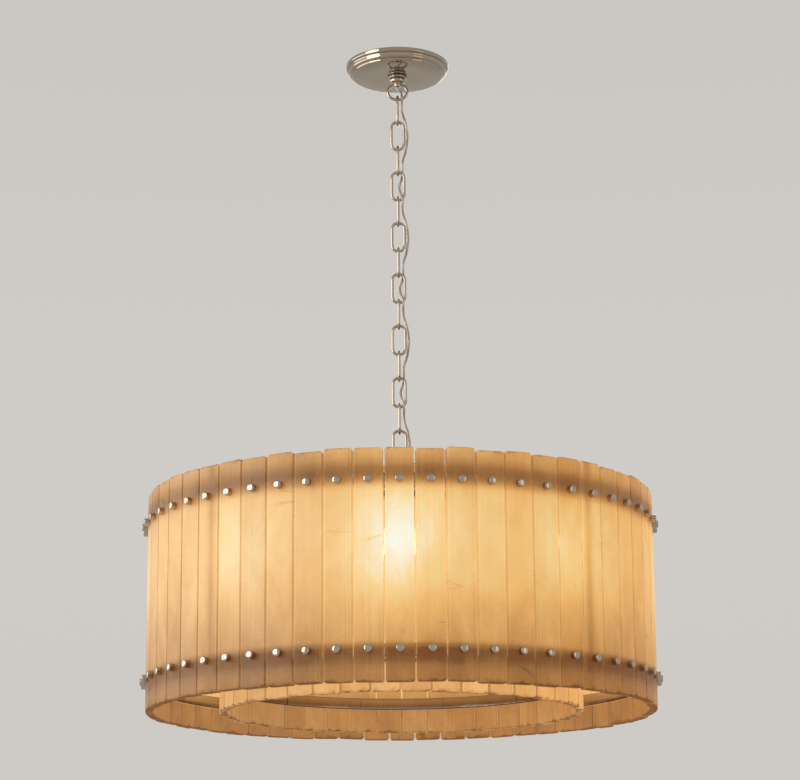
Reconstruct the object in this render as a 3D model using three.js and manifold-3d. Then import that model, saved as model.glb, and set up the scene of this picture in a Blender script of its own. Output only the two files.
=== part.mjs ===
// Drum chandelier of alabaster slabs, hung from the ceiling on a chain.
// Millimetres, +Z up, front towards -Y.
// The origin is the middle of the ceiling bracket's top face, where it meets the ceiling.

import * as THREE from "three";
import { mergeVertices } from "three/addons/utils/BufferGeometryUtils.js";
import Module from "manifold-3d";

const wasm = await Module();
wasm.setup();

// Clearances
const seatGap = 0.3; // a seated piece stands this far off what carries it
const weldDepth = 0.6; // shapes of one piece run this far into each other
const cutOverrun = 3; // a cut runs this far past the faces that it opens
const mergeDistance = 0.0005; // points closer than this are one point

// Drums
const drumRadius = 381; // middle to the outer faces of the outer slabs
const drumSpacing = 109.5; // outer faces of the outer slabs to those of the inner slabs
const outerSlabCount = 56;
const innerSlabCount = 40;
const slabSets = 4; // the slabs of a drum come in this many sets
const slabThickness = 12;
const slabHeight = 322;
const slabGap = 1.4; // between neighbouring slabs, at their back edges
const boltInset = 44.5; // end of a slab to its row of bolts

// Bolts, and the hoops that they are fixed to
const boltNeckWidth = 6;
const boltHeadRadius = 5.6;
const boltHeadSides = 6;
const boltHeadLength = 9;
const hoopHeight = 17;
const hoopThickness = 5;

// Soft spacers in the gaps between slabs, which join the slabs of a set
const spacerInset = 3; // back of a slab to its spacers
const spacerDepth = 5;
const spacerHeight = 11;

// Ceiling fittings
const bracketWidth = 20;
const bracketThickness = 2.5;
const bracketScrewSpacing = 88.9;
const bracketSlotLength = 10;
const bracketSlotWidth = 5;
const bracketEnd = 5.55; // a slot to the end of the strap
const bossRadius = 9;
const bossHeight = 7;
const stemRadius = 4.8;
const stemBore = 2.6;
const canopyRadius = 81;
const canopyHeight = 18;
const canopyWall = 1.2;
const collarRadius = 15;
const collarHeight = 10.7;

// Loops at both ends of the chain
const loopWidth = 35;
const loopHeight = 30.5;
const loopWire = 4.5;
const loopNeckRadius = 6;
const loopNeckBoss = 2; // how far the neck stands into the loop
const canopyLoopRise = 2.5; // collar's lower face down to the loop's top
const neckStand = 4; // how far the neck stands past the canopy's or the nut's face

// Chain
const linkCount = 14;
const linkLength = 51;
const linkWidth = 24;
const linkWire = 4.5;

// Lead that is woven through the chain
const leadRadius = 2;
const leadSides = 8;
const leadClearance = 0.7; // round the lead in the neck and in the hub
const leadSteps = 60;

// Hub and arms
const hubRadius = 34;
const hubHeight = 32;
const hubTopWall = 9;
const hubSideWall = 12;
const hubLoopRise = 2; // hub's top face up to the lower end of its loop
const hubNutRadius = 11;
const hubNutHeight = 7;
const armCount = 4;
const armHeight = 16;
const armThickness = 6;
const armTongue = 8; // how far an arm stands into the hub
const armLegWidth = 14;
const slabTopGap = 8.5; // underside of the arms to the tops of the slabs

// Lamp plate, posts, sockets and bulbs
const plateThickness = 3;
const plateClearance = 3.5; // edge of the plate to the inner bolts
const postCount = 4;
const postRadius = 4;
const lampCount = 8;
const socketRadius = 17;
const socketHeight = 36;
const socketNeckRadius = 5;
const socketNeckStand = 3;
const bulbBaseRadius = 13;
const bulbBaseLength = 27;
const bulbRadius = 25;
const bulbLength = 82; // lower end of the socket to the end of the glass

// How finely round shapes are cut
const canopySides = 32;
const collarSides = 16;
const hubSides = 16;
const neckSides = 12;
const smallSides = 8;
const wireSides = 5;
const bendSteps = 6;
const loopSteps = 16;
const plateSides = 40;

// Levels that follow from the sizes above
const wirePitch = linkWire / 2 + loopWire / 2 + seatGap; // between the wires of a loop and a link
const linkPitch = linkLength - linkWire - (linkWire + seatGap); // from one hold of the chain to the next
const loopReach = (loopHeight - loopWire) / 2; // half the height of a loop, to the middle of its wire
const collarBottom = -canopyHeight - seatGap - collarHeight;
const topHold = collarBottom - canopyLoopRise - 2 * loopReach; // middle of the canopy loop's lower wire
const chainTop = topHold + wirePitch - (linkWire + seatGap); // where a link would hold the first link
const lastHold = chainTop - linkCount * linkPitch; // middle of the last link's lower wire
const hubLoopTop = lastHold + wirePitch; // middle of the hub loop's upper wire
const hubTop = hubLoopTop - 2 * loopReach - loopWire / 2 - hubLoopRise;
const hubBottom = hubTop - hubHeight;
const armTop = hubBottom + armHeight;
const slabTop = hubBottom - slabTopGap;
const slabBottom = slabTop - slabHeight;
const topBolts = slabTop - boltInset;
const bottomBolts = slabBottom + boltInset;
const hoopTop = topBolts + hoopHeight / 2; // upper edge of the top hoops
const plateBottom = hoopTop + seatGap;
const plateTop = plateBottom + plateThickness;

// A drum's radii that follow from the radius of its slabs' outer faces
function drumSizes(radius, count) {
  const back = radius - slabThickness;
  const halfPitch = Math.PI / count;
  return {
    count,
    halfPitch,
    face: radius,
    back,
    hoopFace: back - seatGap,
    slabWidth: 2 * back * Math.tan(halfPitch) - slabGap,
    boltEnd: radius + seatGap + boltHeadLength,
  };
}
const outerDrum = drumSizes(drumRadius, outerSlabCount);
const innerDrum = drumSizes(drumRadius - drumSpacing, innerSlabCount);
const postPlace = outerDrum.hoopFace - hoopThickness - seatGap - postRadius;
const plateInner = innerDrum.boltEnd + plateClearance;
const lampPlace = (plateInner + postPlace - postRadius) / 2;

// Materials
const alabaster = new THREE.MeshStandardMaterial({ color: "#e8cfa4", roughness: 0.45, metalness: 0 });
const polishedNickel = new THREE.MeshStandardMaterial({ color: "#cfc6b6", roughness: 0.12, metalness: 1 });
const satinSteel = new THREE.MeshStandardMaterial({ color: "#b9b6b0", roughness: 0.4, metalness: 1 });
const clearLead = new THREE.MeshStandardMaterial({ color: "#c9bfae", roughness: 0.3, metalness: 0 });
const frostedGlass = new THREE.MeshStandardMaterial({ color: "#fff1d6", roughness: 0.5, metalness: 0 });
const socketShell = new THREE.MeshStandardMaterial({ color: "#e9e4d8", roughness: 0.5, metalness: 0 });

const chandelier = new THREE.Group();

function addPiece(name, geometry, material, turn = 0) {
  const piece = new THREE.Mesh(geometry, material);
  piece.name = name;
  piece.rotation.z = turn;
  chandelier.add(piece);
}

// A geometry as a solid that can be joined and cut, and back again
function solidOf(geometry) {
  const bare = geometry.clone();
  bare.deleteAttribute("normal");
  bare.deleteAttribute("uv");
  const merged = mergeVertices(bare, mergeDistance);
  const mesh = new wasm.Mesh({
    numProp: 3,
    vertProperties: merged.attributes.position.array,
    triVerts: new Uint32Array(merged.index.array),
  });
  return new wasm.Manifold(mesh);
}

function geometryOf(solid) {
  const mesh = solid.getMesh();
  const geometry = new THREE.BufferGeometry();
  geometry.setAttribute("position", new THREE.BufferAttribute(mesh.vertProperties, 3));
  geometry.setIndex(new THREE.BufferAttribute(mesh.triVerts, 1));
  return geometry;
}

// A shape turned about the Z axis, from a profile of [radius, height] points
function turned(profile, sides) {
  const points = profile.map(([radius, height]) => new THREE.Vector2(radius, height));
  return new THREE.LatheGeometry(points, sides).rotateX(Math.PI / 2);
}

function closedTurned(profile, sides) {
  return turned([...profile, profile[0]], sides);
}

// The corners of a regular outline round a point, its first corner at an angle
function regularCorners(radius, sides, firstAngle = 0, x = 0, y = 0) {
  return Array.from({ length: sides }, (_, i) => {
    const angle = firstAngle + (2 * Math.PI * i) / sides;
    return new THREE.Vector2(x + radius * Math.cos(angle), y + radius * Math.sin(angle));
  });
}

// A flat plate of an outline with holes, between two levels
function flatPlate(outline, holes, low, high) {
  const shape = new THREE.Shape(outline);
  shape.holes = holes.map((hole) => new THREE.Path(hole));
  const geometry = new THREE.ExtrudeGeometry(shape, { depth: high - low, bevelEnabled: false });
  return geometry.translate(0, 0, low);
}

// A block that stands between two radii and two levels, turned to an angle
function radialBlock(near, far, width, low, high, angle) {
  const block = new THREE.BoxGeometry(far - near, width, high - low);
  return block.translate((near + far) / 2, 0, (low + high) / 2).rotateZ(angle);
}

// A bar of a regular section that stands along a radius
function radialBar(near, far, radius, sides, level, angle) {
  const bar = new THREE.CylinderGeometry(radius, radius, far - near, sides);
  return bar.rotateZ(-Math.PI / 2).translate((near + far) / 2, 0, level).rotateZ(angle);
}

// A closed ring of round wire in the XZ plane, through stations of [x, z, direction outwards]
function wireRing(stations, wire) {
  const positions = [];
  const triangles = [];
  for (const [x, z, outwards] of stations) {
    for (let side = 0; side < wireSides; side += 1) {
      const angle = (2 * Math.PI * (side + 0.5)) / wireSides;
      const [reach, breadth] = [(wire / 2) * Math.cos(angle), (wire / 2) * Math.sin(angle)];
      positions.push(x + reach * Math.cos(outwards), breadth, z + reach * Math.sin(outwards));
    }
  }
  const station = (i) => (i % stations.length) * wireSides;
  for (let i = 0; i < stations.length; i += 1) {
    for (let side = 0; side < wireSides; side += 1) {
      const next = (side + 1) % wireSides;
      const [a, b] = [station(i) + side, station(i) + next];
      const [c, d] = [station(i + 1) + side, station(i + 1) + next];
      triangles.push(a, b, d, a, d, c);
    }
  }
  const geometry = new THREE.BufferGeometry();
  geometry.setAttribute("position", new THREE.Float32BufferAttribute(positions, 3));
  geometry.setIndex(triangles);
  return geometry;
}

// Ceiling bracket: a strap with a threaded boss under its middle and two screw slots
function ceilingBracket() {
  const middle = -bracketThickness / 2;
  const bracketLength = bracketScrewSpacing + bracketSlotLength + 2 * bracketEnd;
  const strap = new THREE.BoxGeometry(bracketLength, bracketWidth, bracketThickness).translate(0, 0, middle);
  const bossBottom = -bracketThickness - bossHeight;
  const boss = turned(
    [
      [0, bossBottom],
      [bossRadius, bossBottom],
      [bossRadius, -bracketThickness + weldDepth],
      [0, -bracketThickness + weldDepth],
    ],
    neckSides,
  );
  const thread = turned(
    [
      [0, bossBottom - cutOverrun],
      [stemRadius + seatGap, bossBottom - cutOverrun],
      [stemRadius + seatGap, -bracketThickness],
      [0, -bracketThickness],
    ],
    neckSides,
  );
  let bracket = solidOf(strap).add(solidOf(boss)).subtract(solidOf(thread));
  const slotDepth = bracketThickness + 2 * cutOverrun;
  for (const side of [-1, 1]) {
    const slot = new THREE.BoxGeometry(bracketSlotLength, bracketSlotWidth, slotDepth);
    slot.translate((side * bracketScrewSpacing) / 2, 0, middle);
    bracket = bracket.subtract(solidOf(slot));
  }
  return geometryOf(bracket);
}

// Canopy: a shallow hollow dish whose edge steps down in two rounded beads to a flat bottom.
// The edge is written as shares of the canopy's radius and height.
const canopyInsideShares = [
  [1, 0],
  [0.955, 0.36],
  [0.91, 0.8],
];
const canopyEdgeShares = [
  [1, 0],
  [1, 0.17],
  [0.988, 0.33],
  [0.955, 0.4],
  [0.955, 0.5],
  [0.945, 0.72],
  [0.915, 0.86],
  [0.885, 0.89],
  [0.878, 1],
];
function canopyShell() {
  const outside = canopyEdgeShares.map(([reach, depth]) => [canopyRadius * reach, -canopyHeight * depth]);
  const hollowRadius = (reach) => canopyRadius * reach - canopyWall;
  const inside = canopyInsideShares.map(([reach, depth]) => [hollowRadius(reach), -canopyHeight * depth]);
  const hole = loopNeckRadius + seatGap;
  const floor = -canopyHeight + canopyWall;
  const corner = outside[outside.length - 1][0] - canopyWall;
  const profile = [[hole, floor], [hole, -canopyHeight], ...outside.reverse(), ...inside, [corner, floor]];
  return closedTurned(profile, canopySides);
}

// Screw collar: a wide ring under the canopy, a waist and a narrower ring
const collarShares = [
  [0.84, 0],
  [0.9, 0.34],
  [0.72, 0.44],
  [1, 0.58],
  [1, 0.92],
  [0.94, 1],
];
function screwCollar() {
  const bore = loopNeckRadius + seatGap;
  const level = (rise) => collarBottom + collarHeight * rise;
  const outside = collarShares.map(([reach, rise]) => [collarRadius * reach, level(rise)]);
  return closedTurned([[bore, collarBottom], ...outside, [bore, collarBottom + collarHeight]], collarSides);
}

// Threaded stem: a hollow rod from the bracket's boss into the neck of the canopy loop
function threadedStem(bottom) {
  const top = -bracketThickness - seatGap;
  return closedTurned(
    [
      [stemBore, bottom],
      [stemRadius, bottom],
      [stemRadius, top],
      [stemBore, top],
    ],
    neckSides,
  );
}

// Loop with a hollow neck. The middle of its far wire is at the origin and its neck points up.
function chainLoop(neckTop, stemDepth) {
  const stations = [];
  for (let i = 0; i < loopSteps; i += 1) {
    const angle = (2 * Math.PI * i) / loopSteps;
    const [wide, tall] = [(loopWidth - loopWire) / 2, loopReach];
    const outwards = Math.atan2(Math.sin(angle) * wide, Math.cos(angle) * tall);
    stations.push([wide * Math.cos(angle), loopReach + tall * Math.sin(angle), outwards]);
  }
  const neckBottom = 2 * loopReach - loopWire / 2 - loopNeckBoss;
  const neck = turned(
    [
      [0, neckBottom],
      [loopNeckRadius, neckBottom],
      [loopNeckRadius, neckTop],
      [0, neckTop],
    ],
    neckSides,
  );
  const leadBore = leadRadius + leadClearance;
  const bore = turned(
    [
      [0, neckBottom - cutOverrun],
      [leadBore, neckBottom - cutOverrun],
      [leadBore, neckTop - stemDepth],
      [stemRadius + seatGap, neckTop - stemDepth],
      [stemRadius + seatGap, neckTop + cutOverrun],
      [0, neckTop + cutOverrun],
    ],
    neckSides,
  );
  return geometryOf(solidOf(wireRing(stations, loopWire)).add(solidOf(neck)).subtract(solidOf(bore)));
}

// Chain link: two straight sides and two half rounds, its middle at the origin
function chainLink() {
  const bend = (linkWidth - linkWire) / 2;
  const straight = (linkLength - linkWidth) / 2;
  const stations = [];
  for (const end of [1, -1]) {
    for (let i = 0; i <= bendSteps; i += 1) {
      const angle = (Math.PI * i) / bendSteps + (end > 0 ? 0 : Math.PI);
      stations.push([bend * Math.cos(angle), end * straight + bend * Math.sin(angle), angle]);
    }
  }
  return wireRing(stations, linkWire);
}

// Lead: it comes out of the canopy loop's neck, weaves down the chain and goes into the hub.
// Places beside each link and each hold, over four links, are shares of a link's width.
const weaveShares = [
  { hold: [0.28, -0.27], link: [0.29, -0.09] },
  { hold: [0.52, -0.27], link: [0.625, 0] },
  { hold: [0.52, 0.27], link: [0.29, 0.09] },
  { hold: [0.28, 0.27], link: [0.08, 0] },
];
const leadStartShares = [
  [0, 0, 0.3],
  [0, 0, 0.1],
  [0, 0, -0.1],
  [0.1, -0.09, -0.28],
  [0.24, -0.22, -0.5],
];
const hubEntry = weaveShares[1].link[0] * linkWidth; // the lead goes into the hub this far from its middle
function wovenLead() {
  const neckBottom = topHold + 2 * loopReach - loopWire / 2 - loopNeckBoss;
  const points = leadStartShares.map(
    ([x, y, z]) => new THREE.Vector3(x * linkWidth, y * linkWidth, neckBottom + z * linkWidth),
  );
  for (let i = 0; i <= linkCount; i += 1) {
    const { hold, link } = weaveShares[i % weaveShares.length];
    const level = chainTop - i * linkPitch;
    points.push(new THREE.Vector3(hold[0] * linkWidth, hold[1] * linkWidth, level));
    if (i < linkCount) {
      points.push(new THREE.Vector3(link[0] * linkWidth, link[1] * linkWidth, level - linkPitch / 2));
    }
  }
  points.push(new THREE.Vector3(hubEntry, 0, hubTop + hubLoopRise));
  points.push(new THREE.Vector3(hubEntry, 0, hubTop - hubTopWall));
  const route = new THREE.CatmullRomCurve3(points);
  const section = new THREE.Shape(regularCorners(leadRadius, leadSides));
  return new THREE.ExtrudeGeometry(section, { steps: leadSteps, bevelEnabled: false, extrudePath: route });
}

// Hub: a turned cup that opens downwards, with a slot for each arm and a hole for the lead
const armStart = hubRadius * Math.cos(Math.PI / hubSides) - armTongue;
function hubCup() {
  const bore = loopNeckRadius + seatGap;
  const ceiling = hubTop - hubTopWall;
  const hollow = hubRadius - hubSideWall;
  const profile = [
    [bore, ceiling],
    [hollow, ceiling],
    [hollow, hubBottom],
    [hubRadius, hubBottom],
    [hubRadius, hubTop],
    [bore, hubTop],
  ];
  let hub = solidOf(closedTurned(profile, hubSides));
  for (let i = 0; i < armCount; i += 1) {
    const slot = radialBlock(
      armStart - seatGap,
      hubRadius + cutOverrun,
      armThickness + 2 * seatGap,
      hubBottom - cutOverrun,
      armTop + seatGap,
      armAngle(i),
    );
    hub = hub.subtract(solidOf(slot));
  }
  const hole = regularCorners(leadRadius + leadClearance, smallSides, Math.PI / smallSides, hubEntry, 0);
  const drill = flatPlate(hole, [], ceiling - cutOverrun, hubTop + cutOverrun);
  return geometryOf(hub.subtract(solidOf(drill)));
}

function armAngle(i) {
  return (2 * Math.PI * (i + 0.5)) / armCount;
}

function hubNut() {
  const top = hubTop - hubTopWall - seatGap;
  const outline = regularCorners(hubNutRadius, boltHeadSides);
  const bore = regularCorners(loopNeckRadius + seatGap, neckSides);
  return flatPlate(outline, [bore], top - hubNutHeight, top);
}

// Arm: a flat bar on edge. It leaves the hub, puts one leg on the inner hoop,
// passes over the inner slabs and puts the other leg on the lamp plate.
function arm() {
  const innerFoot = hoopTop + seatGap;
  const outerFoot = plateTop + seatGap;
  const innerLeg = innerDrum.hoopFace;
  const outerLeg = innerDrum.boltEnd + plateClearance;
  const outline = [
    [armStart, armTop],
    [armStart, hubBottom],
    [innerLeg - armLegWidth, hubBottom],
    [innerLeg - armLegWidth, innerFoot],
    [innerLeg, innerFoot],
    [innerLeg, hubBottom],
    [outerLeg, hubBottom],
    [outerLeg, outerFoot],
    [outerLeg + armLegWidth, outerFoot],
    [outerLeg + armLegWidth, hubBottom],
    [outerLeg, armTop],
  ].map(([x, y]) => new THREE.Vector2(x, y));
  const bar = flatPlate(outline, [], -armThickness / 2, armThickness / 2);
  return bar.rotateX(Math.PI / 2);
}

// Hoop: a band with one flat facet behind each slab
function plainHoop(drum, level, firstAngle) {
  const firstCorner = firstAngle + drum.halfPitch;
  const corners = (apothem) => regularCorners(apothem / Math.cos(drum.halfPitch), drum.count, firstCorner);
  const inside = corners(drum.hoopFace - hoopThickness);
  return flatPlate(corners(drum.hoopFace), [inside], level - hoopHeight / 2, level + hoopHeight / 2);
}

// A hoop with a bolt through each slab
function hoopWithBolts(drum, level, firstAngle) {
  let hoop = solidOf(plainHoop(drum, level, firstAngle));
  const headBack = drum.face + seatGap;
  for (let i = 0; i < drum.count; i += 1) {
    const angle = firstAngle + 2 * drum.halfPitch * i;
    const neck = radialBlock(
      drum.hoopFace - weldDepth,
      headBack + weldDepth,
      boltNeckWidth,
      level - boltNeckWidth / 2,
      level + boltNeckWidth / 2,
      angle,
    );
    const head = radialBar(headBack, drum.boltEnd, boltHeadRadius, boltHeadSides, level, angle);
    hoop = hoop.add(solidOf(neck)).add(solidOf(head));
  }
  return geometryOf(hoop);
}

// A quarter of a drum's slabs, joined by the spacers in their gaps. Its first slab is at the angle zero.
function slabSet(drum, boltLevels) {
  const perSet = drum.count / slabSets;
  const holeWidth = boltNeckWidth + 2 * seatGap;
  let set;
  for (let i = 0; i < perSet; i += 1) {
    const angle = 2 * drum.halfPitch * i;
    const slab = solidOf(radialBlock(drum.back, drum.face, drum.slabWidth, slabBottom, slabTop, angle));
    set = set ? set.add(slab) : slab;
  }
  for (let i = 0; i < perSet - 1; i += 1) {
    const spacer = radialBlock(
      drum.back + spacerInset,
      drum.back + spacerInset + spacerDepth,
      slabGap + 2 * (spacerInset + spacerDepth) * Math.tan(drum.halfPitch) + 2 * weldDepth,
      topBolts - spacerHeight / 2,
      topBolts + spacerHeight / 2,
      drum.halfPitch * (2 * i + 1),
    );
    set = set.add(solidOf(spacer));
  }
  for (let i = 0; i < perSet; i += 1) {
    for (const level of boltLevels) {
      const hole = radialBlock(
        drum.back - cutOverrun,
        drum.face + cutOverrun,
        holeWidth,
        level - holeWidth / 2,
        level + holeWidth / 2,
        2 * drum.halfPitch * i,
      );
      set = set.subtract(solidOf(hole));
    }
  }
  return geometryOf(set);
}

// Lamp plate: a flat ring on the outer top hoop, with a hole for each socket
function lampPlate() {
  const holes = Array.from({ length: lampCount }, (_, i) => {
    const angle = lampAngle(i);
    const [x, y] = [lampPlace * Math.cos(angle), lampPlace * Math.sin(angle)];
    return regularCorners(socketNeckRadius + seatGap, smallSides, angle, x, y);
  });
  const edge = regularCorners(outerDrum.hoopFace, plateSides);
  return flatPlate(edge, [regularCorners(plateInner, plateSides), ...holes], plateBottom, plateTop);
}

function lampAngle(i) {
  return (2 * Math.PI * i) / lampCount;
}

function post() {
  const bottom = bottomBolts - hoopHeight / 2;
  const rod = regularCorners(postRadius, smallSides, Math.PI / smallSides, postPlace, 0);
  return flatPlate(rod, [], bottom, plateBottom - seatGap);
}

// Lamp socket: a cup that opens downwards, with a neck through the lamp plate
const socketTop = plateBottom - seatGap;
const socketBottom = socketTop - socketHeight;
function socket() {
  const bore = bulbBaseRadius + seatGap;
  const boreTop = socketBottom + bulbBaseLength + seatGap;
  const neckTop = plateTop + socketNeckStand;
  const cup = turned(
    [
      [0, boreTop],
      [bore, boreTop],
      [bore, socketBottom],
      [socketRadius, socketBottom],
      [socketRadius, socketTop],
      [socketNeckRadius, socketTop],
      [socketNeckRadius, neckTop],
      [0, neckTop],
    ],
    smallSides,
  );
  return cup.translate(lampPlace, 0, 0);
}

// Bulb: a screw base and a pear of frosted glass, as shares of its radius and length
const bulbShares = [
  [0, 1],
  [0.7, 0.9],
  [1, 0.62],
  [0.7, 0.25],
  [0.56, 0],
];
function bulb() {
  const glassTop = socketBottom - seatGap;
  const glass = bulbShares.map(([reach, depth]) => [bulbRadius * reach, glassTop - bulbLength * depth]);
  const base = [
    [bulbBaseRadius, glassTop],
    [bulbBaseRadius, socketBottom + bulbBaseLength],
    [0, socketBottom + bulbBaseLength],
  ];
  return turned([...glass, ...base], smallSides).translate(lampPlace, 0, 0);
}

// Ceiling fittings
const neckTop = -canopyHeight + canopyWall + neckStand;
const stemDepth = (neckTop - collarBottom) / 2;
addPiece("ceiling_bracket", ceilingBracket(), satinSteel);
addPiece("threaded_stem", threadedStem(neckTop - stemDepth + seatGap), satinSteel);
addPiece("canopy", canopyShell(), polishedNickel);
addPiece("canopy_collar", screwCollar(), polishedNickel);
addPiece("canopy_loop", chainLoop(neckTop - topHold, stemDepth).translate(0, 0, topHold), polishedNickel);

// Chain: every other link is turned a quarter, and the first one shows its edge to the front
for (let i = 1; i <= linkCount; i += 1) {
  const middle = chainTop - i * linkPitch - linkWire / 2 + linkLength / 2;
  const link = chainLink().translate(0, 0, middle);
  addPiece(`chain_link_${String(i).padStart(2, "0")}`, link, polishedNickel, i % 2 ? Math.PI / 2 : 0);
}
addPiece("chain_lead", wovenLead(), clearLead);

// Hub and arms
const hubNeckEnd = hubLoopTop - (hubTop - hubTopWall - hubNutHeight - 2 * seatGap - neckStand);
const hubLoop = chainLoop(hubNeckEnd, stemDepth).rotateX(Math.PI).translate(0, 0, hubLoopTop);
addPiece("hub_loop", hubLoop, polishedNickel, Math.PI / 2);
addPiece("hub", hubCup(), satinSteel);
addPiece("hub_nut", hubNut(), satinSteel);
for (let i = 0; i < armCount; i += 1) {
  addPiece(`arm_${i + 1}`, arm(), satinSteel, armAngle(i));
}

// Hoops. The outer drum has a slab at its front, and the inner drum has a gap there.
const front = -Math.PI / 2;
const innerFront = front + innerDrum.halfPitch;
addPiece("outer_top_hoop", hoopWithBolts(outerDrum, topBolts, front), polishedNickel);
addPiece("outer_bottom_hoop", hoopWithBolts(outerDrum, bottomBolts, front), polishedNickel);
addPiece("inner_top_hoop", hoopWithBolts(innerDrum, topBolts, innerFront), polishedNickel);
addPiece("inner_bottom_hoop", plainHoop(innerDrum, bottomBolts, innerFront), polishedNickel);

// Lamp plate, posts, sockets and bulbs
addPiece("lamp_plate", lampPlate(), satinSteel);
for (let i = 0; i < postCount; i += 1) {
  addPiece(`post_${i + 1}`, post(), polishedNickel, (2 * Math.PI * (i + 0.5)) / postCount);
}
for (let i = 0; i < lampCount; i += 1) {
  addPiece(`socket_${i + 1}`, socket(), socketShell, lampAngle(i));
  addPiece(`bulb_${i + 1}`, bulb(), frostedGlass, lampAngle(i));
}

// Slabs
for (let i = 0; i < slabSets; i += 1) {
  const quarter = (2 * Math.PI * i) / slabSets;
  addPiece(`outer_slabs_${i + 1}`, slabSet(outerDrum, [topBolts, bottomBolts]), alabaster, front + quarter);
  addPiece(`inner_slabs_${i + 1}`, slabSet(innerDrum, [topBolts]), alabaster, innerFront + quarter);
}

export default chandelier;
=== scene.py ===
import math
import random
from functools import partial

import bmesh
import bpy
from mathutils import Matrix, Vector, noise


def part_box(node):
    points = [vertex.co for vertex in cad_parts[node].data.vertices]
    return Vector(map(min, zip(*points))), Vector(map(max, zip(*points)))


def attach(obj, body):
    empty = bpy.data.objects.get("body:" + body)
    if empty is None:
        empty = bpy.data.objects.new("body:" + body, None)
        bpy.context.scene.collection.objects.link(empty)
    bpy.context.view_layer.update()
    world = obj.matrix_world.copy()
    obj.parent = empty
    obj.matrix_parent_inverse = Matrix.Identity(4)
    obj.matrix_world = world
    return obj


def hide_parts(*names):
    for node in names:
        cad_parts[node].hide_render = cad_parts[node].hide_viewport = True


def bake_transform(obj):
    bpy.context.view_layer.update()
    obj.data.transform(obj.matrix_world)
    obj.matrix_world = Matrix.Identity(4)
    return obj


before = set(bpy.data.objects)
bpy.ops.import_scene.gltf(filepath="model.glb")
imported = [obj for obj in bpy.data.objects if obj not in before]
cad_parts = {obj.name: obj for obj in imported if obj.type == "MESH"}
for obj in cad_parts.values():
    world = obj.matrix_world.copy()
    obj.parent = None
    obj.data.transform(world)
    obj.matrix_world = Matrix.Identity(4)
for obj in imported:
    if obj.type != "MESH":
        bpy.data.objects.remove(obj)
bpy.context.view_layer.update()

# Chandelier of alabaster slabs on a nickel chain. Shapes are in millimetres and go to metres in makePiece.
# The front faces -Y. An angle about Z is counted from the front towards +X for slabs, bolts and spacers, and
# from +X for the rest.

mm = 0.001
tiny = 1e-6
fullTurn = 2 * math.pi


def cadCorners(node):
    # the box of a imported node, in millimetres
    low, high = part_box(node)
    return low / mm, high / mm


def addObject(name, data):
    item = bpy.data.objects.new(name, data)
    bpy.context.scene.collection.objects.link(item)
    return item


camera = {
    "place": (0.009, -3.6, -1.442),   # metres
    "tiltUp": 12.80,                  # degrees
    "roll": -0.41,
    "lens": 108.5,
    "shift": (-0.0071, 0.074),
}


def makeCamera():
    data = bpy.data.cameras.new("camera")
    data.lens = camera["lens"]
    data.shift_x, data.shift_y = camera["shift"]
    item = addObject("camera", data)
    tilt = Matrix.Rotation(math.radians(90 + camera["tiltUp"]), 4, "X")
    roll = Matrix.Rotation(math.radians(camera["roll"]), 4, "Z")
    item.matrix_world = Matrix.Translation(camera["place"]) @ tilt @ roll
    bpy.context.scene.camera = item
    bpy.context.scene.view_settings.view_transform = "Standard"


print("camera")
makeCamera()


# Tools for shapes

def meshFrom(points, faces, softenEdges=0.0):
    # a closed mesh with its faces pointing out, its sharp edges softened by a bevel of that width
    shape = bmesh.new()
    corners = [shape.verts.new(p) for p in points]
    for face in faces:
        shape.faces.new([corners[i] for i in face])
    bmesh.ops.recalc_face_normals(shape, faces=shape.faces)
    if softenEdges:
        sharp = [e for e in shape.edges if e.is_manifold and e.calc_face_angle() > 0.5]
        bmesh.ops.bevel(shape, geom=sharp, offset=softenEdges, segments=2, profile=0.5, affect="EDGES")
    return written(shape, bpy.data.meshes.new("shape"))


def written(shape, mesh):
    shape.to_mesh(mesh)
    shape.free()
    return mesh


def turned(profile, sides, closed=False):
    # a profile of (radius, height) turned about Z. It ends on the axis, or closes on itself.
    points, faces, rings = [], [], []
    for radius, height in profile:
        if radius < tiny:
            rings.append([len(points)] * sides)
            points.append((0, 0, height))
        else:
            rings.append(list(range(len(points), len(points) + sides)))
            points += [(x, y, height) for x, y in ringCorners(radius, sides)]
    pairs = list(zip(rings, rings[1:])) + ([(rings[-1], rings[0])] if closed else [])
    for lower, upper in pairs:
        for i in range(sides):
            k = (i + 1) % sides
            face = list(dict.fromkeys([lower[i], lower[k], upper[k], upper[i]]))
            if len(face) > 2:
                faces.append(face)
    return meshFrom(points, faces)


def arc(centre, radius, start, end, steps):
    # points on a round, from one angle in degrees to another
    turns = [math.radians(start + (end - start) * i / steps) for i in range(steps + 1)]
    return [(centre[0] + radius * math.cos(a), centre[1] + radius * math.sin(a)) for a in turns]


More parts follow.
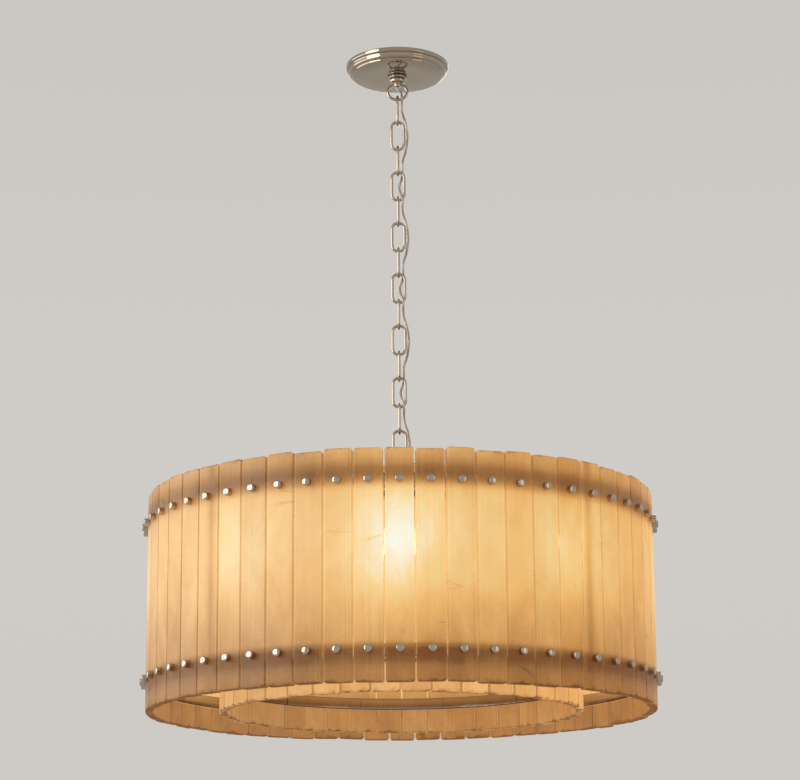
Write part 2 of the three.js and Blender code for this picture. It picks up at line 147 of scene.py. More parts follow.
def tube(path, radius, sides, closed=False):
    # a round tube along points, whose section turns as little as it can on the way
    count = len(path)
    path = [Vector(p) for p in path]
    along = []
    for i in range(count):
        before = path[i - 1] if closed or i > 0 else path[i]
        after = path[(i + 1) % count] if closed or i < count - 1 else path[i]
        along.append((after - before).normalized())
    across = along[0].orthogonal().normalized()
    points, faces = [], []
    for i in range(count):
        across = (across - along[i] * across.dot(along[i])).normalized()
        third = along[i].cross(across)
        for x, y in ringCorners(radius, sides):
            points.append(path[i] + x * across + y * third)
    # the last ring of a closed tube meets the first one at the side that lies nearest
    nearest = min(range(sides), key=lambda k: (points[k] - points[(count - 1) * sides]).length)
    for i in range(count if closed else count - 1):
        shift = nearest if i == count - 1 else 0
        nextRing = ((i + 1) % count) * sides
        for k in range(sides):
            a, b = i * sides + k, i * sides + (k + 1) % sides
            faces.append((a, b, nextRing + (k + 1 + shift) % sides, nextRing + (k + shift) % sides))
    if not closed:
        faces.append(tuple(range(sides)))
        faces.append(tuple((count - 1) * sides + k for k in range(sides)))
    return meshFrom(points, faces)


def prism(outline, low, high, softenEdges=0.0):
    # a flat plate of an outline of (x, y) between two heights
    count = len(outline)
    points = [(x, y, z) for z in (low, high) for x, y in outline]
    faces = [tuple(range(count)), tuple(range(count, 2 * count))]
    faces += [(i, (i + 1) % count, count + (i + 1) % count, count + i) for i in range(count)]
    return meshFrom(points, faces, softenEdges)


def ringCorners(radius, sides, x=0.0, y=0.0):
    turns = [fullTurn * i / sides for i in range(sides)]
    return [(x + radius * math.cos(a), y + radius * math.sin(a)) for a in turns]


def turnTo(angle):
    return Matrix.Rotation(angle, 4, "Z")


def placed(mesh, matrix):
    copy = mesh.copy()
    copy.transform(matrix)
    return copy


def combined(meshes):
    # several meshes as one
    shape = bmesh.new()
    for mesh in meshes:
        shape.from_mesh(mesh)
    return written(shape, bpy.data.meshes.new("shape"))


def joinOrCut(mesh, tool, how="DIFFERENCE"):
    # UNION or DIFFERENCE of two closed meshes
    base, other = addObject("base", mesh), addObject("tool", tool)
    modifier = base.modifiers.new("joinOrCut", "BOOLEAN")
    modifier.operation, modifier.solver, modifier.object = how, "EXACT", other
    view = bpy.context.evaluated_depsgraph_get()
    result = bpy.data.meshes.new_from_object(base.evaluated_get(view))
    for item in (base, other):
        bpy.data.objects.remove(item)
    return result


def setValues(mesh, name, values):
    # a value for each point, which the material reads by its name
    mesh.attributes.new(name, "FLOAT", "POINT").data.foreach_set("value", values)


def makePiece(name, mesh, finish, body, *nodes, smoothBelow=30):
    # a finished piece: in metres, shaded, with its material, body and the nodes it stands for
    material, slot = finish
    mesh.name = name
    mesh.transform(Matrix.Scale(mm, 4))
    mesh.shade_smooth()
    mesh.set_sharp_from_angle(angle=math.radians(smoothBelow))
    mesh.materials.clear()
    mesh.materials.append(material)
    piece = addObject(name, mesh)
    if body:
        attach(piece, body)
    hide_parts(*nodes)
    return piece


# Tools for materials

def linear(colour):
    # an sRGB hex colour as the linear colour that shaders take; any other value stays as it is
    if not isinstance(colour, str):
        return colour
    parts = [int(colour[i:i + 2], 16) / 255 for i in (1, 3, 5)]
    return tuple(c / 12.92 if c <= 0.04045 else ((c + 0.055) / 1.055) ** 2.4 for c in parts) + (1.0,)


def deeper(colour, share):
    # a hex colour with that share of its light
    return tuple(c * share for c in linear(colour)[:3]) + (1,)


def addNode(tree, kind, inputs=None, take=0, stops=(), **settings):
    # one node with its settings, its inputs and the stops of its ramp. An input takes a value or the output
    # that feeds it, and the output that take names or numbers comes back.
    node = tree.nodes.new("ShaderNode" + kind)
    for name, value in settings.items():
        setattr(node, name, value)
    for name, value in (inputs or {}).items():
        if isinstance(value, bpy.types.NodeSocket):
            tree.links.new(value, node.inputs[name])
        else:
            node.inputs[name].default_value = linear(value)
    if stops:
        elements = node.color_ramp.elements
        elements.remove(elements[-1])
        elements[0].position, elements[0].color = stops[0][0], linear(stops[0][1])
        for place, colour in stops[1:]:
            elements.new(place).color = linear(colour)
    return node.outputs[take] if node.outputs else None


def emptied(item):
    # takes the nodes out of a material or a world, and gives the function that adds new ones
    item.use_nodes = True
    item.node_tree.nodes.clear()
    return partial(addNode, item.node_tree)


def newMaterial(name, build, *look):
    # a material of one shader, fed by what the build function gives back
    material = bpy.data.materials.new(name)
    add = emptied(material)
    add("OutputMaterial", {"Surface": add("BsdfPrincipled", build(add, *look))})
    return material


# Alabaster, sawn into slabs and rubbed to a satin polish. The lamps' light through it is painted into its
# emission: it goes from brown where a hoop shades it, through honey, to cream before a lamp. Fine upright
# streaks, soft clouds, painted light and shade of a thin bevel along each edge, a hairline crack, a brown
# knot or a stained end here and there, and a tint of its own for each slab, painted paler on the left where
# the window light falls.
alabaster = {
    "light": [   # what the eye sees for the share of the lamps' light that comes through
        (0.0, "#7c502b"), (0.1, "#946a40"), (0.2, "#a87644"), (0.4, "#cd9a60"), (0.6, "#efbd79"),
        (0.8, "#fcda9c"), (0.92, "#fdefcf"), (1.0, "#fffaec"),
    ],
    # painted shade: the stone's colour in room light, darker where less lamp light comes through
    "body": [(0.0, "#58422c"), (0.25, "#7d6449"), (0.6, "#948370"), (1.0, "#9a8d7e")],   # in room light
    "tints": [(0.0, (0.93, 0.96, 1.06, 1)), (0.5, (1, 1, 1, 1)), (1.0, (1.0, 0.9, 0.74, 1))],
    "bevel": [   # painted light and shade of a ground bevel, from a slab's middle to its edge
        (0.0, 0.0), (0.79, 0.0), (0.825, -0.045), (0.865, 0.02), (0.92, 0.045), (0.96, 0.01), (0.98, -0.02),
        (1.0, -0.02),
    ],
    "patterns": {   # size in mm, stretch, detail, roughness and warp
        "clouds": (55, (1, 1, 0.55), 5.0, 0.6, 0.8),
        "streaks": (3.4, (1, 1, 3.4 / 420), 3.0, 0.7, 0.0),
        "cracked": (60, (1, 1, 1), 2.0, 0.5, 0.0),     # where cracks show
        "knots": (17, (1, 1, 0.8), 3.0, 0.6, 0.5),
        "soaked": (11, (1, 1, 1), 3.0, 0.5, 0.0),      # where an end took up the saw's rusty water
        "chips": (4, (1, 1, 1), 2.0, 0.5, 0.0),
    },
    "changes": {   # the middle of each pattern, and how much it changes the light
        "clouds": (0.5, 0.36), "streaks": (0.5, 0.13), "grain": (0.5, 0.1), "bevel": (0.5, 1.0),
        "crack": (0, -0.13), "knot": (0, -0.12), "stain": (0, -0.2), "end": (0, -0.3), "chip": (0, -0.09),
    },
    "grainSize": 2.6,      # mm
    "crackSpacing": 80,
    "crackWidth": 0.25,
    "crackWarp": (34, 0.009),   # its size in mm and its share
    "stainReach": 7,       # mm in from the end
    "endReach": 2.2,
    "roomLight": 0.68,     # the room light that falls on the front, as a share of full light
    "roughness": 0.36,
    "endRoughness": 0.5,   # more of it on the sawn ends
    "ior": 1.52,
    "shine": 0.22,         # a rubbed face mirrors less than a polished one
    "gapShadeBody": 0.3,       # painted shade: the slabs' sides, in the gaps, are darker than the rubbed faces
}


def alabasterLook(add):
    a = alabaster
    place = add("TexCoord", take="Object")
    seed, glow, tint, across, rim, room = (
        add("Attribute", take="Fac", attribute_name=name)
        for name in ("seed", "glow", "tint", "across", "rim", "room")
    )
    found = {"grain": add("TexNoise", {
        "Vector": place, "Scale": 1 / (a["grainSize"] * mm), "Detail": 4.0, "Roughness": 0.65,
    })}
    for name, (size, stretch, detail, rough, warp) in a["patterns"].items():
        found[name] = add("TexNoise", {
            "Vector": add("Mapping", {"Vector": place, "Scale": stretch}), "W": seed,
            "Scale": 1 / (size * mm), "Detail": detail, "Roughness": rough, "Distortion": warp,
        }, noise_dimensions="4D")
    # hairline cracks: borders between cells that lie flat, warped, and kept where another pattern is dense
    warp = add("TexNoise", {
        "Vector": place, "W": seed, "Scale": 1 / (a["crackWarp"][0] * mm), "Detail": 3.0,
    }, take="Color", noise_dimensions="4D")
    flat = add("Mapping", {"Vector": place, "Scale": (0.2, 0.2, 1)})
    warped = add("Mix", {
        "Factor": a["crackWarp"][1], "A": flat, "B": warp,
    }, take="Result", data_type="VECTOR")
    border = add("TexVoronoi", {
        "Vector": warped, "W": seed, "Scale": 1 / (a["crackSpacing"] * mm),
    }, take="Distance", voronoi_dimensions="4D", feature="DISTANCE_TO_EDGE")
    smooth, straight = "SMOOTHSTEP", "LINEAR"
    rough, cracks = a["roughness"], a["crackWidth"] * 4 / a["crackSpacing"]
    spans = {   # the pattern, the two values between which it is taken, what they become, and how
        "line": (border, 0.0, cracks, 1.0, 0.0, smooth),
        "cracked": (found["cracked"], 0.56, 0.70, 0.0, 1.0, smooth),
        "knot": (found["knots"], 0.69, 0.80, 0.0, 1.0, smooth),
        "blot": (found["soaked"], 0.5, 0.64, 0.0, 1.0, smooth),
        "nearEnd": (rim, 0.5, a["stainReach"], 1.0, 0.0, smooth),
        "atEnd": (rim, 0.0, a["endReach"], 1.0, 0.0, straight),
        "broken": (found["soaked"], 0.36, 0.62, 0.45, 1.0, straight),
        "chipped": (found["chips"], 0.62, 0.70, 0.0, 1.0, smooth),
        "nearSide": (across, 0.93, 0.98, 0.0, 1.0, straight),
        # painted shade in the gaps: the sides' colour is taken darker
        "gapShaded": (across, 0.985, 1.0, 1.0, a["gapShadeBody"], straight),
        "rough": (found["streaks"], 0.3, 0.7, rough - 0.06, rough + 0.1, straight),
    }
    for name, (value, low, high, first, last, way) in spans.items():
        found[name] = add("MapRange", {
            "Value": value, "From Min": low, "From Max": high, "To Min": first, "To Max": last,
        }, interpolation_type=way)
    for name, one, other in (
        ("crack", "line", "cracked"), ("stain", "blot", "nearEnd"), ("end", "atEnd", "broken"),
        ("chip", "chipped", "nearSide"),
    ):
        found[name] = add("Math", {0: found[one], 1: found[other]}, operation="MULTIPLY")
    # the bevel's painted light and shade, as a change of the light across the slab
    bevel = [(share, (0.5 + change,) * 3 + (1,)) for share, change in a["bevel"]]
    found["bevel"] = add("ValToRGB", {"Fac": across}, stops=bevel)

    # the painted light that comes through: the glow, changed by clouds, streaks, cracks, stains and the bevel
    through = glow
    for name, (middle, strength) in a["changes"].items():
        change = add("Math", {0: found[name], 1: middle}, operation="SUBTRACT")
        through = add("Math", {0: change, 1: strength, 2: through}, operation="MULTIPLY_ADD")
    clamped = add("Math", {0: through, 1: 0.0}, operation="ADD", use_clamp=True)
    seen = add("ValToRGB", {"Fac": clamped}, stops=a["light"])
    # painted shade: the stone's colour is taken darker where less light comes through
    body = add("ValToRGB", {"Fac": clamped}, stops=a["body"])
    # painted shade in the gaps between slabs
    body = add("VectorMath", {0: body, "Scale": found["gapShaded"]}, operation="SCALE")
    # what the room light gives is taken off the light from behind, so that both make what the eye sees
    roomShare = add("Math", {0: room, 1: a["roomLight"]}, operation="MULTIPLY")
    reflected = add("VectorMath", {0: body, "Scale": roomShare}, operation="SCALE")
    behind = add("VectorMath", {0: seen, 1: reflected}, operation="SUBTRACT")
    behind = add("VectorMath", {0: behind, 1: (0, 0, 0)}, operation="MAXIMUM")
    # each slab's tint: from pale and pinkish to deep orange, and paler on the left from the painted window
    # light
    tintColour = add("ValToRGB", {"Fac": tint}, stops=a["tints"])
    lit, body = (add("VectorMath", {0: part, 1: tintColour}, operation="MULTIPLY") for part in (behind, body))
    # the rubbed face: slow waves of the polish, and the cracks just open
    face = add("Math", {0: found["clouds"], 1: found["crack"]}, operation="SUBTRACT")
    bump = add("Bump", {"Height": face, "Distance": 0.25 * mm, "Strength": 0.6})
    rough = add("Math", {
        0: found["atEnd"], 1: a["endRoughness"], 2: found["rough"],
    }, operation="MULTIPLY_ADD")
    return {
        "Base Color": body, "Emission Color": lit, "Emission Strength": 1.0, "Normal": bump,
        "Roughness": rough, "IOR": a["ior"], "Specular IOR Level": a["shine"],
    }


# Polished nickel plate: a warm white mirror with faint wipe marks and a soft haze where hands have been.
nickel = {
    "colour": "#b9aea1",
    "dishColour": "#ada193",   # the pressed canopy, a shade deeper: painted shade, so that its mirror reads darker
    "bandColour": "#a89a8c",   # the rolled bands, a shade deeper than the plate: painted shade
    "bandEdgeShadeColour": "#35241a",   # painted shade on the bands' upper and lower faces, dark brown
    "edgeRoughness": 0.5,
    "roughness": (0.05, 0.14),
    "bandRoughness": (0.12, 0.24),
    "hazeSize": 14,      # mm
    "wipeWidth": 0.5,    # mm, drawn coarser than the real wipe marks so that they show
}


def nickelLook(add, colour, roughness):
    colour, (lowest, highest) = nickel[colour], nickel[roughness]
    place = add("TexCoord", take="Object")
    haze = add("TexNoise", {
        "Vector": place, "Scale": 1 / (nickel["hazeSize"] * mm), "Detail": 4.0, "Roughness": 0.6,
    })
    drawnOut = add("Mapping", {"Vector": place, "Scale": (1, 1, 0.08)})
    wipe = add("TexNoise", {"Vector": drawnOut, "Scale": 1 / (nickel["wipeWidth"] * mm), "Detail": 2.0})
    both = add("Math", {0: haze, 1: wipe}, operation="MULTIPLY")
    rough = add("MapRange", {
        "Value": both, "From Min": 0.12, "From Max": 0.4, "To Min": lowest, "To Max": highest,
    })
    tone = add("ValToRGB", {"Fac": haze}, stops=[(0.3, deeper(colour, 0.93)), (0.7, colour)])
    # painted shade: the bands' upper and lower faces are taken dark brown
    sheared = add("Attribute", take="Fac", attribute_name="sheared")
    # the mix node's inputs and outputs go by number, since several share a name
    return {
        "Base Color": add("Mix", {0: sheared, 6: tone, 7: nickel["bandEdgeShadeColour"]}, take=2, data_type="RGBA"),
        "Roughness": add("Mix", {0: sheared, 2: rough, 3: nickel["edgeRoughness"]}),
        "Normal": add("Bump", {"Height": wipe, "Distance": 0.01 * mm, "Strength": 0.3}),
        "Metallic": 1.0,
    }


# Plainer materials: a cloudy tone over a fine relief. Their clouds are a size in mm, detail and roughness,
# the relief is a kind of pattern, a size in mm and detail, and the bump is a depth in mm and a strength.
plainLooks = {
    # mild steel plated with zinc, turned or sawn: a bluish grey satin with fine tool lines
    "zinc_plated_steel": {
        "dark": "#8f8f92", "colour": "#a9a8a6", "clouds": (22, 6.0, 0.65), "relief": ("TexNoise", 0.8, 3.0),
        "stretch": (0.05, 0.05, 1), "bump": (0.03, 0.5), "roughness": (0.3, 0.5), "metallic": 1.0,
        "slot": "zinc_plated_steel",
    },
    # the same in nickel: a warm grey
    "nickel_plated_steel": {
        "dark": "#96897a", "colour": "#b0a698", "clouds": (30, 6.0, 0.65), "relief": ("TexNoise", 0.7, 3.0),
        "stretch": (0.05, 0.05, 1), "bump": (0.03, 0.5), "roughness": (0.22, 0.4), "metallic": 1.0,
        "slot": "nickel_plated_steel",
    },
    # porcelain: cream white under a hard clear gloss, with tiny pits in the glaze
    "glazed_porcelain": {
        "dark": "#ddd3c0", "colour": "#ebe5d8", "clouds": (18, 4.0, 0.5), "relief": ("TexVoronoi", 4.0, 0.0),
        "stretch": (1, 1, 1), "bump": (0.05, 0.3), "roughness": 0.14, "metallic": 0.0, "slot": "porcelain",
    },
    # silicone rubber of the spacers between slabs: milky, dull and slightly yellow
    "cast_silicone": {
        "dark": "#bda98a", "colour": "#d3c4aa", "clouds": (5, 3.0, 0.5), "relief": ("TexNoise", 5, 3.0),
        "stretch": (1, 1, 1), "bump": (0.1, 0.4), "roughness": 0.6, "metallic": 0.0, "slot": "clear_lead",
    },
}


def plainLook(add, look):
    place = add("TexCoord", take="Object")
    size, detail, rough = look["clouds"]
    cloud = add("TexNoise", {
        "Vector": place, "Scale": 1 / (size * mm), "Detail": detail, "Roughness": rough,
    })
    kind, size, detail = look["relief"]
    drawnOut = add("Mapping", {"Vector": place, "Scale": look["stretch"]})
    relief = add(kind, {"Vector": drawnOut, "Scale": 1 / (size * mm), "Detail": detail})
    depth, strength = look["bump"]
    rough = look["roughness"]
    if isinstance(rough, tuple):   # tool lines change the shine
        rough = add("MapRange", {
            "Value": relief, "From Min": 0.3, "From Max": 0.7, "To Min": rough[0], "To Max": rough[1],
        })
    return {
        "Base Color": add("ValToRGB", {"Fac": cloud}, stops=[(0.35, look["dark"]), (0.65, look["colour"])]),
        "Normal": add("Bump", {"Height": relief, "Distance": depth * mm, "Strength": strength}),
        "Roughness": rough, "Metallic": look["metallic"],
    }


# Opal glass of a lit bulb: an even warm white, a little deeper towards the neck.
opalGlass = {"near": "#fff5e2", "far": "#ffdfb0", "strength": 0.6, "frostSize": 6, "roughness": 0.2}


def opalLook(add):
    place = add("TexCoord", take="Object")
    low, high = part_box("bulb_1")
    share = add("MapRange", {
        "Value": add("SeparateXYZ", {"Vector": place}, take="Z"), "From Min": low.z, "From Max": high.z,
    })
    tone = add("ValToRGB", {"Fac": share}, stops=[(0.0, opalGlass["near"]), (1.0, opalGlass["far"])])
    frost = add("TexNoise", {"Vector": place, "Scale": 1 / (opalGlass["frostSize"] * mm), "Detail": 3.0})
    return {
        "Base Color": tone, "Emission Color": tone, "Emission Strength": opalGlass["strength"],
        "Normal": add("Bump", {"Height": frost, "Distance": 0.05 * mm, "Strength": 0.3}),
        "Roughness": opalGlass["roughness"],
    }


# Clear PVC lead over tinned and bare copper cores: two twisted stripes, silver and copper, under a gloss.
clearLead = {
    "tinned": "#cfcac2", "copper": "#b8a899", "between": "#9b938a", "strandSize": 0.7, "roughness": 0.3,
}


def leadLook(add):
    around = add("Attribute", take="Fac", attribute_name="strand")
    tinned, copper, between = (clearLead[name] for name in ("tinned", "copper", "between"))
    tone = add("ValToRGB", {"Fac": around}, stops=[
        (0.0, between), (0.1, tinned), (0.4, tinned), (0.5, between), (0.6, copper), (0.9, copper),
        (1.0, between),
    ])
    strands = add("TexNoise", {
        "Vector": add("TexCoord", take="Object"), "Scale": 1 / (clearLead["strandSize"] * mm), "Detail": 2.0,
    })
    return {
        "Base Color": tone, "Normal": add("Bump", {"Height": strands, "Distance": 0.1 * mm, "Strength": 0.4}),
        "Roughness": clearLead["roughness"], "Metallic": 0.35, "Coat Weight": 1.0, "Coat Roughness": 0.08,
    }


# each finish is a material and the slot of the record that it shows
print("materials")
stone = newMaterial("alabaster_polished_slab", alabasterLook), "alabaster"
stone[0].cycles.emission_sampling = "NONE"
polished = newMaterial("polished_nickel_plate", nickelLook, "colour", "roughness"), "polished_nickel"
pressed = newMaterial("pressed_nickel_dish", nickelLook, "dishColour", "roughness"), "polished_nickel"
banded = newMaterial("rolled_nickel_band", nickelLook, "bandColour", "bandRoughness"), "polished_nickel"
zincPlated, nickelPlated, glazed, rubber = (
    (newMaterial(name, plainLook, look), look["slot"]) for name, look in plainLooks.items()
)
opal = newMaterial("opal_glass_lit", opalLook), "opal_bulb"
clearPvc = newMaterial("clear_pvc_lead", leadLook), "clear_lead"


# Lead woven through the chain
topHold = -57.5         # middle of the canopy loop's lower wire
linkPitch = 41.7        # from one hold of the chain to the next
linkCount = 14
linkWidth = 24
# a loop of wire with a hollow neck that screws onto a stem
chainLoop = {
    "width": 35, "height": 30.5, "wire": 4.5, "neckRadius": 6, "neckBoss": 2, "bore": 2.7, "stemBore": 5.1,
    "stations": 56, "sides": 16,
}
lead = {
    "radius": 2.0,
    "sides": 12,
    "spanSteps": 12,      # rings between two points of the route
    "twistLength": 34,    # mm for one turn of the cores
    # places beside each hold and each link, over four links, in shares of a link's width
    "weaveShares": [
        ((0.28, -0.27), (0.29, -0.09)), ((0.52, -0.27), (0.625, 0.0)),
        ((0.52, 0.27), (0.29, 0.09)), ((0.28, 0.27), (0.08, 0.0)),
    ],
    "startShares": [(0, 0, 0.3), (0, 0, 0.1), (0, 0, -0.1), (0.1, -0.09, -0.28), (0.24, -0.22, -0.5)],
    "hubRise": 2,
    "hubDepth": 9,
}
hubEntry = lead["weaveShares"][1][1][0] * linkWidth   # the lead goes into the hub this far from its middle


def leadRoute():
    neckBottom = topHold + chainLoop["height"] - 1.5 * chainLoop["wire"] - chainLoop["neckBoss"]
    points = [(x * linkWidth, y * linkWidth, neckBottom + z * linkWidth) for x, y, z in lead["startShares"]]
    for i in range(linkCount + 1):
        level = topHold - i * linkPitch
        for x, y in lead["weaveShares"][i % 4]:
            points.append((x * linkWidth, y * linkWidth, level))
            level -= linkPitch / 2
    points.pop()   # the hub comes below the last hold
    hubTop = cadCorners("hub")[1].z
    points += [(hubEntry, 0, hubTop + lead["hubRise"]), (hubEntry, 0, hubTop - lead["hubDepth"])]
    return [Vector(point) for point in points]


def smoothRoute(points, steps):
    # a centripetal curve through the points, as the CAD route is
    ends = [2 * points[0] - points[1]] + points + [2 * points[-1] - points[-2]]
    result = []
    for i in range(len(points) - 1):
        p = ends[i:i + 4]
        knots = [0.0]
        for a, b in zip(p, p[1:]):
            knots.append(knots[-1] + max((b - a).length, tiny) ** 0.5)
        for step in range(steps):
            t = knots[1] + (knots[2] - knots[1]) * step / steps
            spots = p
            for reach in (1, 2, 3):   # three rounds of blending, each over one knot more but the last
                spots = blended(spots, knots, t, reach)
            result.append(spots[0])
    return result + [points[-1].copy()]


def blended(spots, knots, t, reach):
    # neighbours blended by where t lies between their knots
    if reach == 3:
        return [spots[0].lerp(spots[1], (t - knots[1]) / (knots[2] - knots[1]))]
    return [
        a.lerp(b, (t - knots[i]) / (knots[i + reach] - knots[i]))
        for i, (a, b) in enumerate(zip(spots, spots[1:]))
    ]


def makeLead():
    # one stretch for each pair of bodies, from the middle of a link to the middle of the next
    path = smoothRoute(leadRoute(), lead["spanSteps"])
    middles = [topHold - (k + 0.5) * linkPitch for k in range(linkCount)]
    stretches = [[path[0]]]
    for point in path[1:]:
        stretches[-1].append(point)
        if middles and point.z <= middles[0] + tiny:
            stretches.append([point])
            middles.pop(0)
    walked = 0.0
    for k, stretch in enumerate(stretches):
        mesh = tube(stretch, lead["radius"], lead["sides"])
        values = []
        for i, point in enumerate(stretch):
            walked += (point - stretch[max(i - 1, 0)]).length
            turns = walked / lead["twistLength"]
            values += [(side / lead["sides"] + turns) % 1.0 for side in range(lead["sides"])]
        setValues(mesh, "strand", values)
        piece = makePiece(f"lead_{k + 1:02d}", mesh, clearPvc, None, "chain_lead", smoothBelow=60)
        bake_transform(piece)


print("lead")
makeLead()


# Canopy and its fittings
canopy = {"sides": 144, "wall": 1.2, "hole": 6.3, "middleRing": 0.5}
collar = {"sides": 72, "hole": 6.3}


def fromRadius(radius, outline):
    # an outline whose radii are counted from that one
    return [(radius + x, z) for x, z in outline]


def makeCanopy():
    # a pressed dish with two beads round its edge
    low, high = cadCorners("canopy")
    radius, bottom = high.x, low.z
    hole, inside = canopy["hole"] - radius, bottom + canopy["wall"]
    outline = [(-0.6, 0), (0, -0.6)] + arc((-2.3, -4.4), 2.3, 0, -80, 8)
    outline += [(-3.6, -6.7), (-4.0, -7.2), (-4.1, -8.6)] + arc((-7.7, -11.2), 3.6, 0, -72, 9)
    outline += [(-8.3, -14.9), (-9.1, -15.3), (-9.3, -16.3)] + arc((-10.9, bottom + 1.6), 1.6, 0, -90, 4)
    outline += [((canopy["middleRing"] - 1) * radius, bottom), (hole, bottom), (hole, inside), (-12, inside)]
    outline += [(-10.6, inside + 3), (-6.4, -9.4), (-5.4, -6.5), (-1.6, -3.0), (-1.4, 0)]
    mesh = turned(fromRadius(radius, outline), canopy["sides"], closed=True)
    makePiece("canopy_dish", mesh, pressed, "ceiling", "canopy", smoothBelow=40)


def makeCollar():
    # two flanges round a waist
    low, high = cadCorners("canopy_collar")
    radius, bottom, top = high.x, low.z, high.z
    hole = collar["hole"] - radius
    outline = [(hole, top), (-1.1, top)]
    outline += arc((-1.1, top - 1.1), 1.1, 90, 0, 4) + arc((-1.1, top - 3.2), 1.1, 0, -90, 4)
    outline += [(-3.4, top - 4.6), (-4.2, top - 5.4), (-4.2, top - 5.9)]
    outline += arc((-3.1, bottom + 3.5), 1.3, 90, 0, 4) + [(-1.8, bottom + 2.6), (-2.4, bottom + 1.4)]
    outline += arc((-3.6, bottom + 1.0), 1.0, 0, -90, 3) + [(hole, bottom)]
    mesh = turned(fromRadius(radius, outline), collar["sides"], closed=True)
    makePiece("screw_collar", mesh, polished, "collar", "canopy_collar", smoothBelow=40)


def loopMesh(neckTop, stemDepth):
    # its far wire at the origin, its neck upwards
    c = chainLoop
    wide, tall = (c["width"] - c["wire"]) / 2, (c["height"] - c["wire"]) / 2
    wire = [(x * wide, 0, tall + y * tall) for x, y in ringCorners(1, c["stations"])]
    ring = tube(wire, c["wire"] / 2, c["sides"], closed=True)
    bottom = 2 * tall - c["wire"] / 2 - c["neckBoss"]
    lastStep = bottom + (8.4 if neckTop > bottom + 12 else 8)   # a short neck has a shorter step
    neck = turned([(0, bottom)] + fromRadius(c["neckRadius"], [
        (-0.9, bottom), (-0.2, bottom + 0.4), (0, bottom + 1.2), (0, bottom + 5), (1.4, bottom + 6.2),
        (1.4, bottom + 7.4), (0, lastStep), (0, neckTop - 0.5), (-0.5, neckTop),
    ]) + [(0, neckTop)], 40)
    overrun = 3
    drill = turned([
        (0, bottom - overrun), (c["bore"], bottom - overrun), (c["bore"], neckTop - stemDepth),
        (c["stemBore"], neckTop - stemDepth), (c["stemBore"], neckTop + overrun), (0, neckTop + overrun),
    ], 32)
    return joinOrCut(joinOrCut(ring, neck, "UNION"), drill)


def makeLoops():
    low, high = cadCorners("canopy_loop")
    hold = low.z + chainLoop["wire"] / 2
    stemDepth = (high.z - cadCorners("canopy_collar")[0].z) / 2
    mesh = placed(loopMesh(high.z - hold, stemDepth), Matrix.Translation((0, 0, hold)))
    makePiece("canopy_screw_loop", mesh, polished, "ceiling", "canopy_loop", smoothBelow=40)
    low, high = cadCorners("hub_loop")
    hold = high.z - chainLoop["wire"] / 2
    flipped = Matrix.Translation((0, 0, hold)) @ turnTo(fullTurn / 4) @ Matrix.Rotation(math.pi, 4, "X")
    mesh = placed(loopMesh(hold - low.z, stemDepth), flipped)
    makePiece("hub_screw_loop", mesh, polished, "drum", "hub_loop", smoothBelow=40)


# Bracket: a strap with a threaded boss and two screw slots
bracket = {
    "screwSpacing": 88.9, "slotLength": 10, "slotWidth": 5, "bossRadius": 9, "threadRadius": 5.1, "round": 9,
    "thickness": 2.5, "overrun": 3,
}
stem = {"radius": 4.8, "bore": 2.6, "pitch": 1.25, "thread": 0.6, "chamfer": 0.7, "sides": 32}


def makeBracket():
    low, high = cadCorners("ceiling_bracket")
    b = bracket
    length, width, under, past = high.x, high.y, -b["thickness"], b["overrun"]
    outline = []
    for side, start in ((1, -90), (-1, 90)):
        outline += arc((side * (length - b["round"]), 0), b["round"], start, start + 180, 10)
    strap = prism([(x, y * width / b["round"]) for x, y in outline], under, 0, softenEdges=0.35)
    boss = turned([(0, low.z)] + fromRadius(b["bossRadius"], [
        (-0.8, low.z), (0, low.z + 0.8), (0, -2.8), (0.8, -2.0),
    ]) + [(0, -2.0)], 48)
    mesh = joinOrCut(strap, boss, "UNION")
    thread = [(0, low.z - past), (b["threadRadius"], low.z - past), (b["threadRadius"], under), (0, under)]
    mesh = joinOrCut(mesh, turned(thread, 36))
    for side in (-1, 1):
        centre = side * b["screwSpacing"] / 2
        half, r = (b["slotLength"] - b["slotWidth"]) / 2, b["slotWidth"] / 2
        slot = arc((centre + half, 0), r, -90, 90, 8) + arc((centre - half, 0), r, 90, 270, 8)
        mesh = joinOrCut(mesh, prism(slot, -2 * past, past))
    makePiece("ceiling_strap", mesh, zincPlated, "ceiling", "ceiling_bracket")


def makeStem():
    low, high = cadCorners("threaded_stem")
    radius, pitch, end = stem["radius"], stem["pitch"], stem["radius"] - stem["chamfer"]
    profile = [(stem["bore"], low.z), (end, low.z)]
    level = low.z + pitch / 2
    while level + pitch / 2 < high.z - 0.4:
        profile += [(radius, level), (radius - stem["thread"], level + pitch / 2)]
        level += pitch
    profile += [(end, high.z), (stem["bore"], high.z)]
    mesh = turned(profile, stem["sides"], closed=True)
    makePiece("threaded_rod", mesh, zincPlated, "ceiling", "threaded_stem", smoothBelow=50)


print("canopy")
makeCanopy()
makeCollar()
makeLoops()
makeBracket()
makeStem()


# Chain of welded links
link = {
    "length": 51, "wire": 4.5, "bendSteps": 14, "straightSteps": 5, "sides": 16, "weldLength": 3.2,
    "weldSwell": 0.28,
}


def linkMesh():
    bend = (linkWidth - link["wire"]) / 2
    straight = (link["length"] - linkWidth) / 2
    path = []
    for end, start in ((1, 0), (-1, 180)):
        bends = arc((0, end * straight), bend, start, start + 180, link["bendSteps"])
        path += [(x, 0, z) for x, z in bends]
        for i in range(1, link["straightSteps"]):
            share = i / link["straightSteps"]
            path.append((-end * bend, 0, end * straight * (1 - 2 * share)))
    mesh = tube(path, link["wire"] / 2, link["sides"], closed=True)
    # the butt weld in the middle of one side stands a little proud
    for vertex in mesh.vertices:
        share = vertex.co.z / link["weldLength"]
        if vertex.co.x > 0 and abs(share) < 1:
            rise = 1 + link["weldSwell"] / link["wire"] * 2 * math.cos(share * math.pi / 2)
            vertex.co.x = bend + (vertex.co.x - bend) * rise
            vertex.co.y *= rise
    return mesh


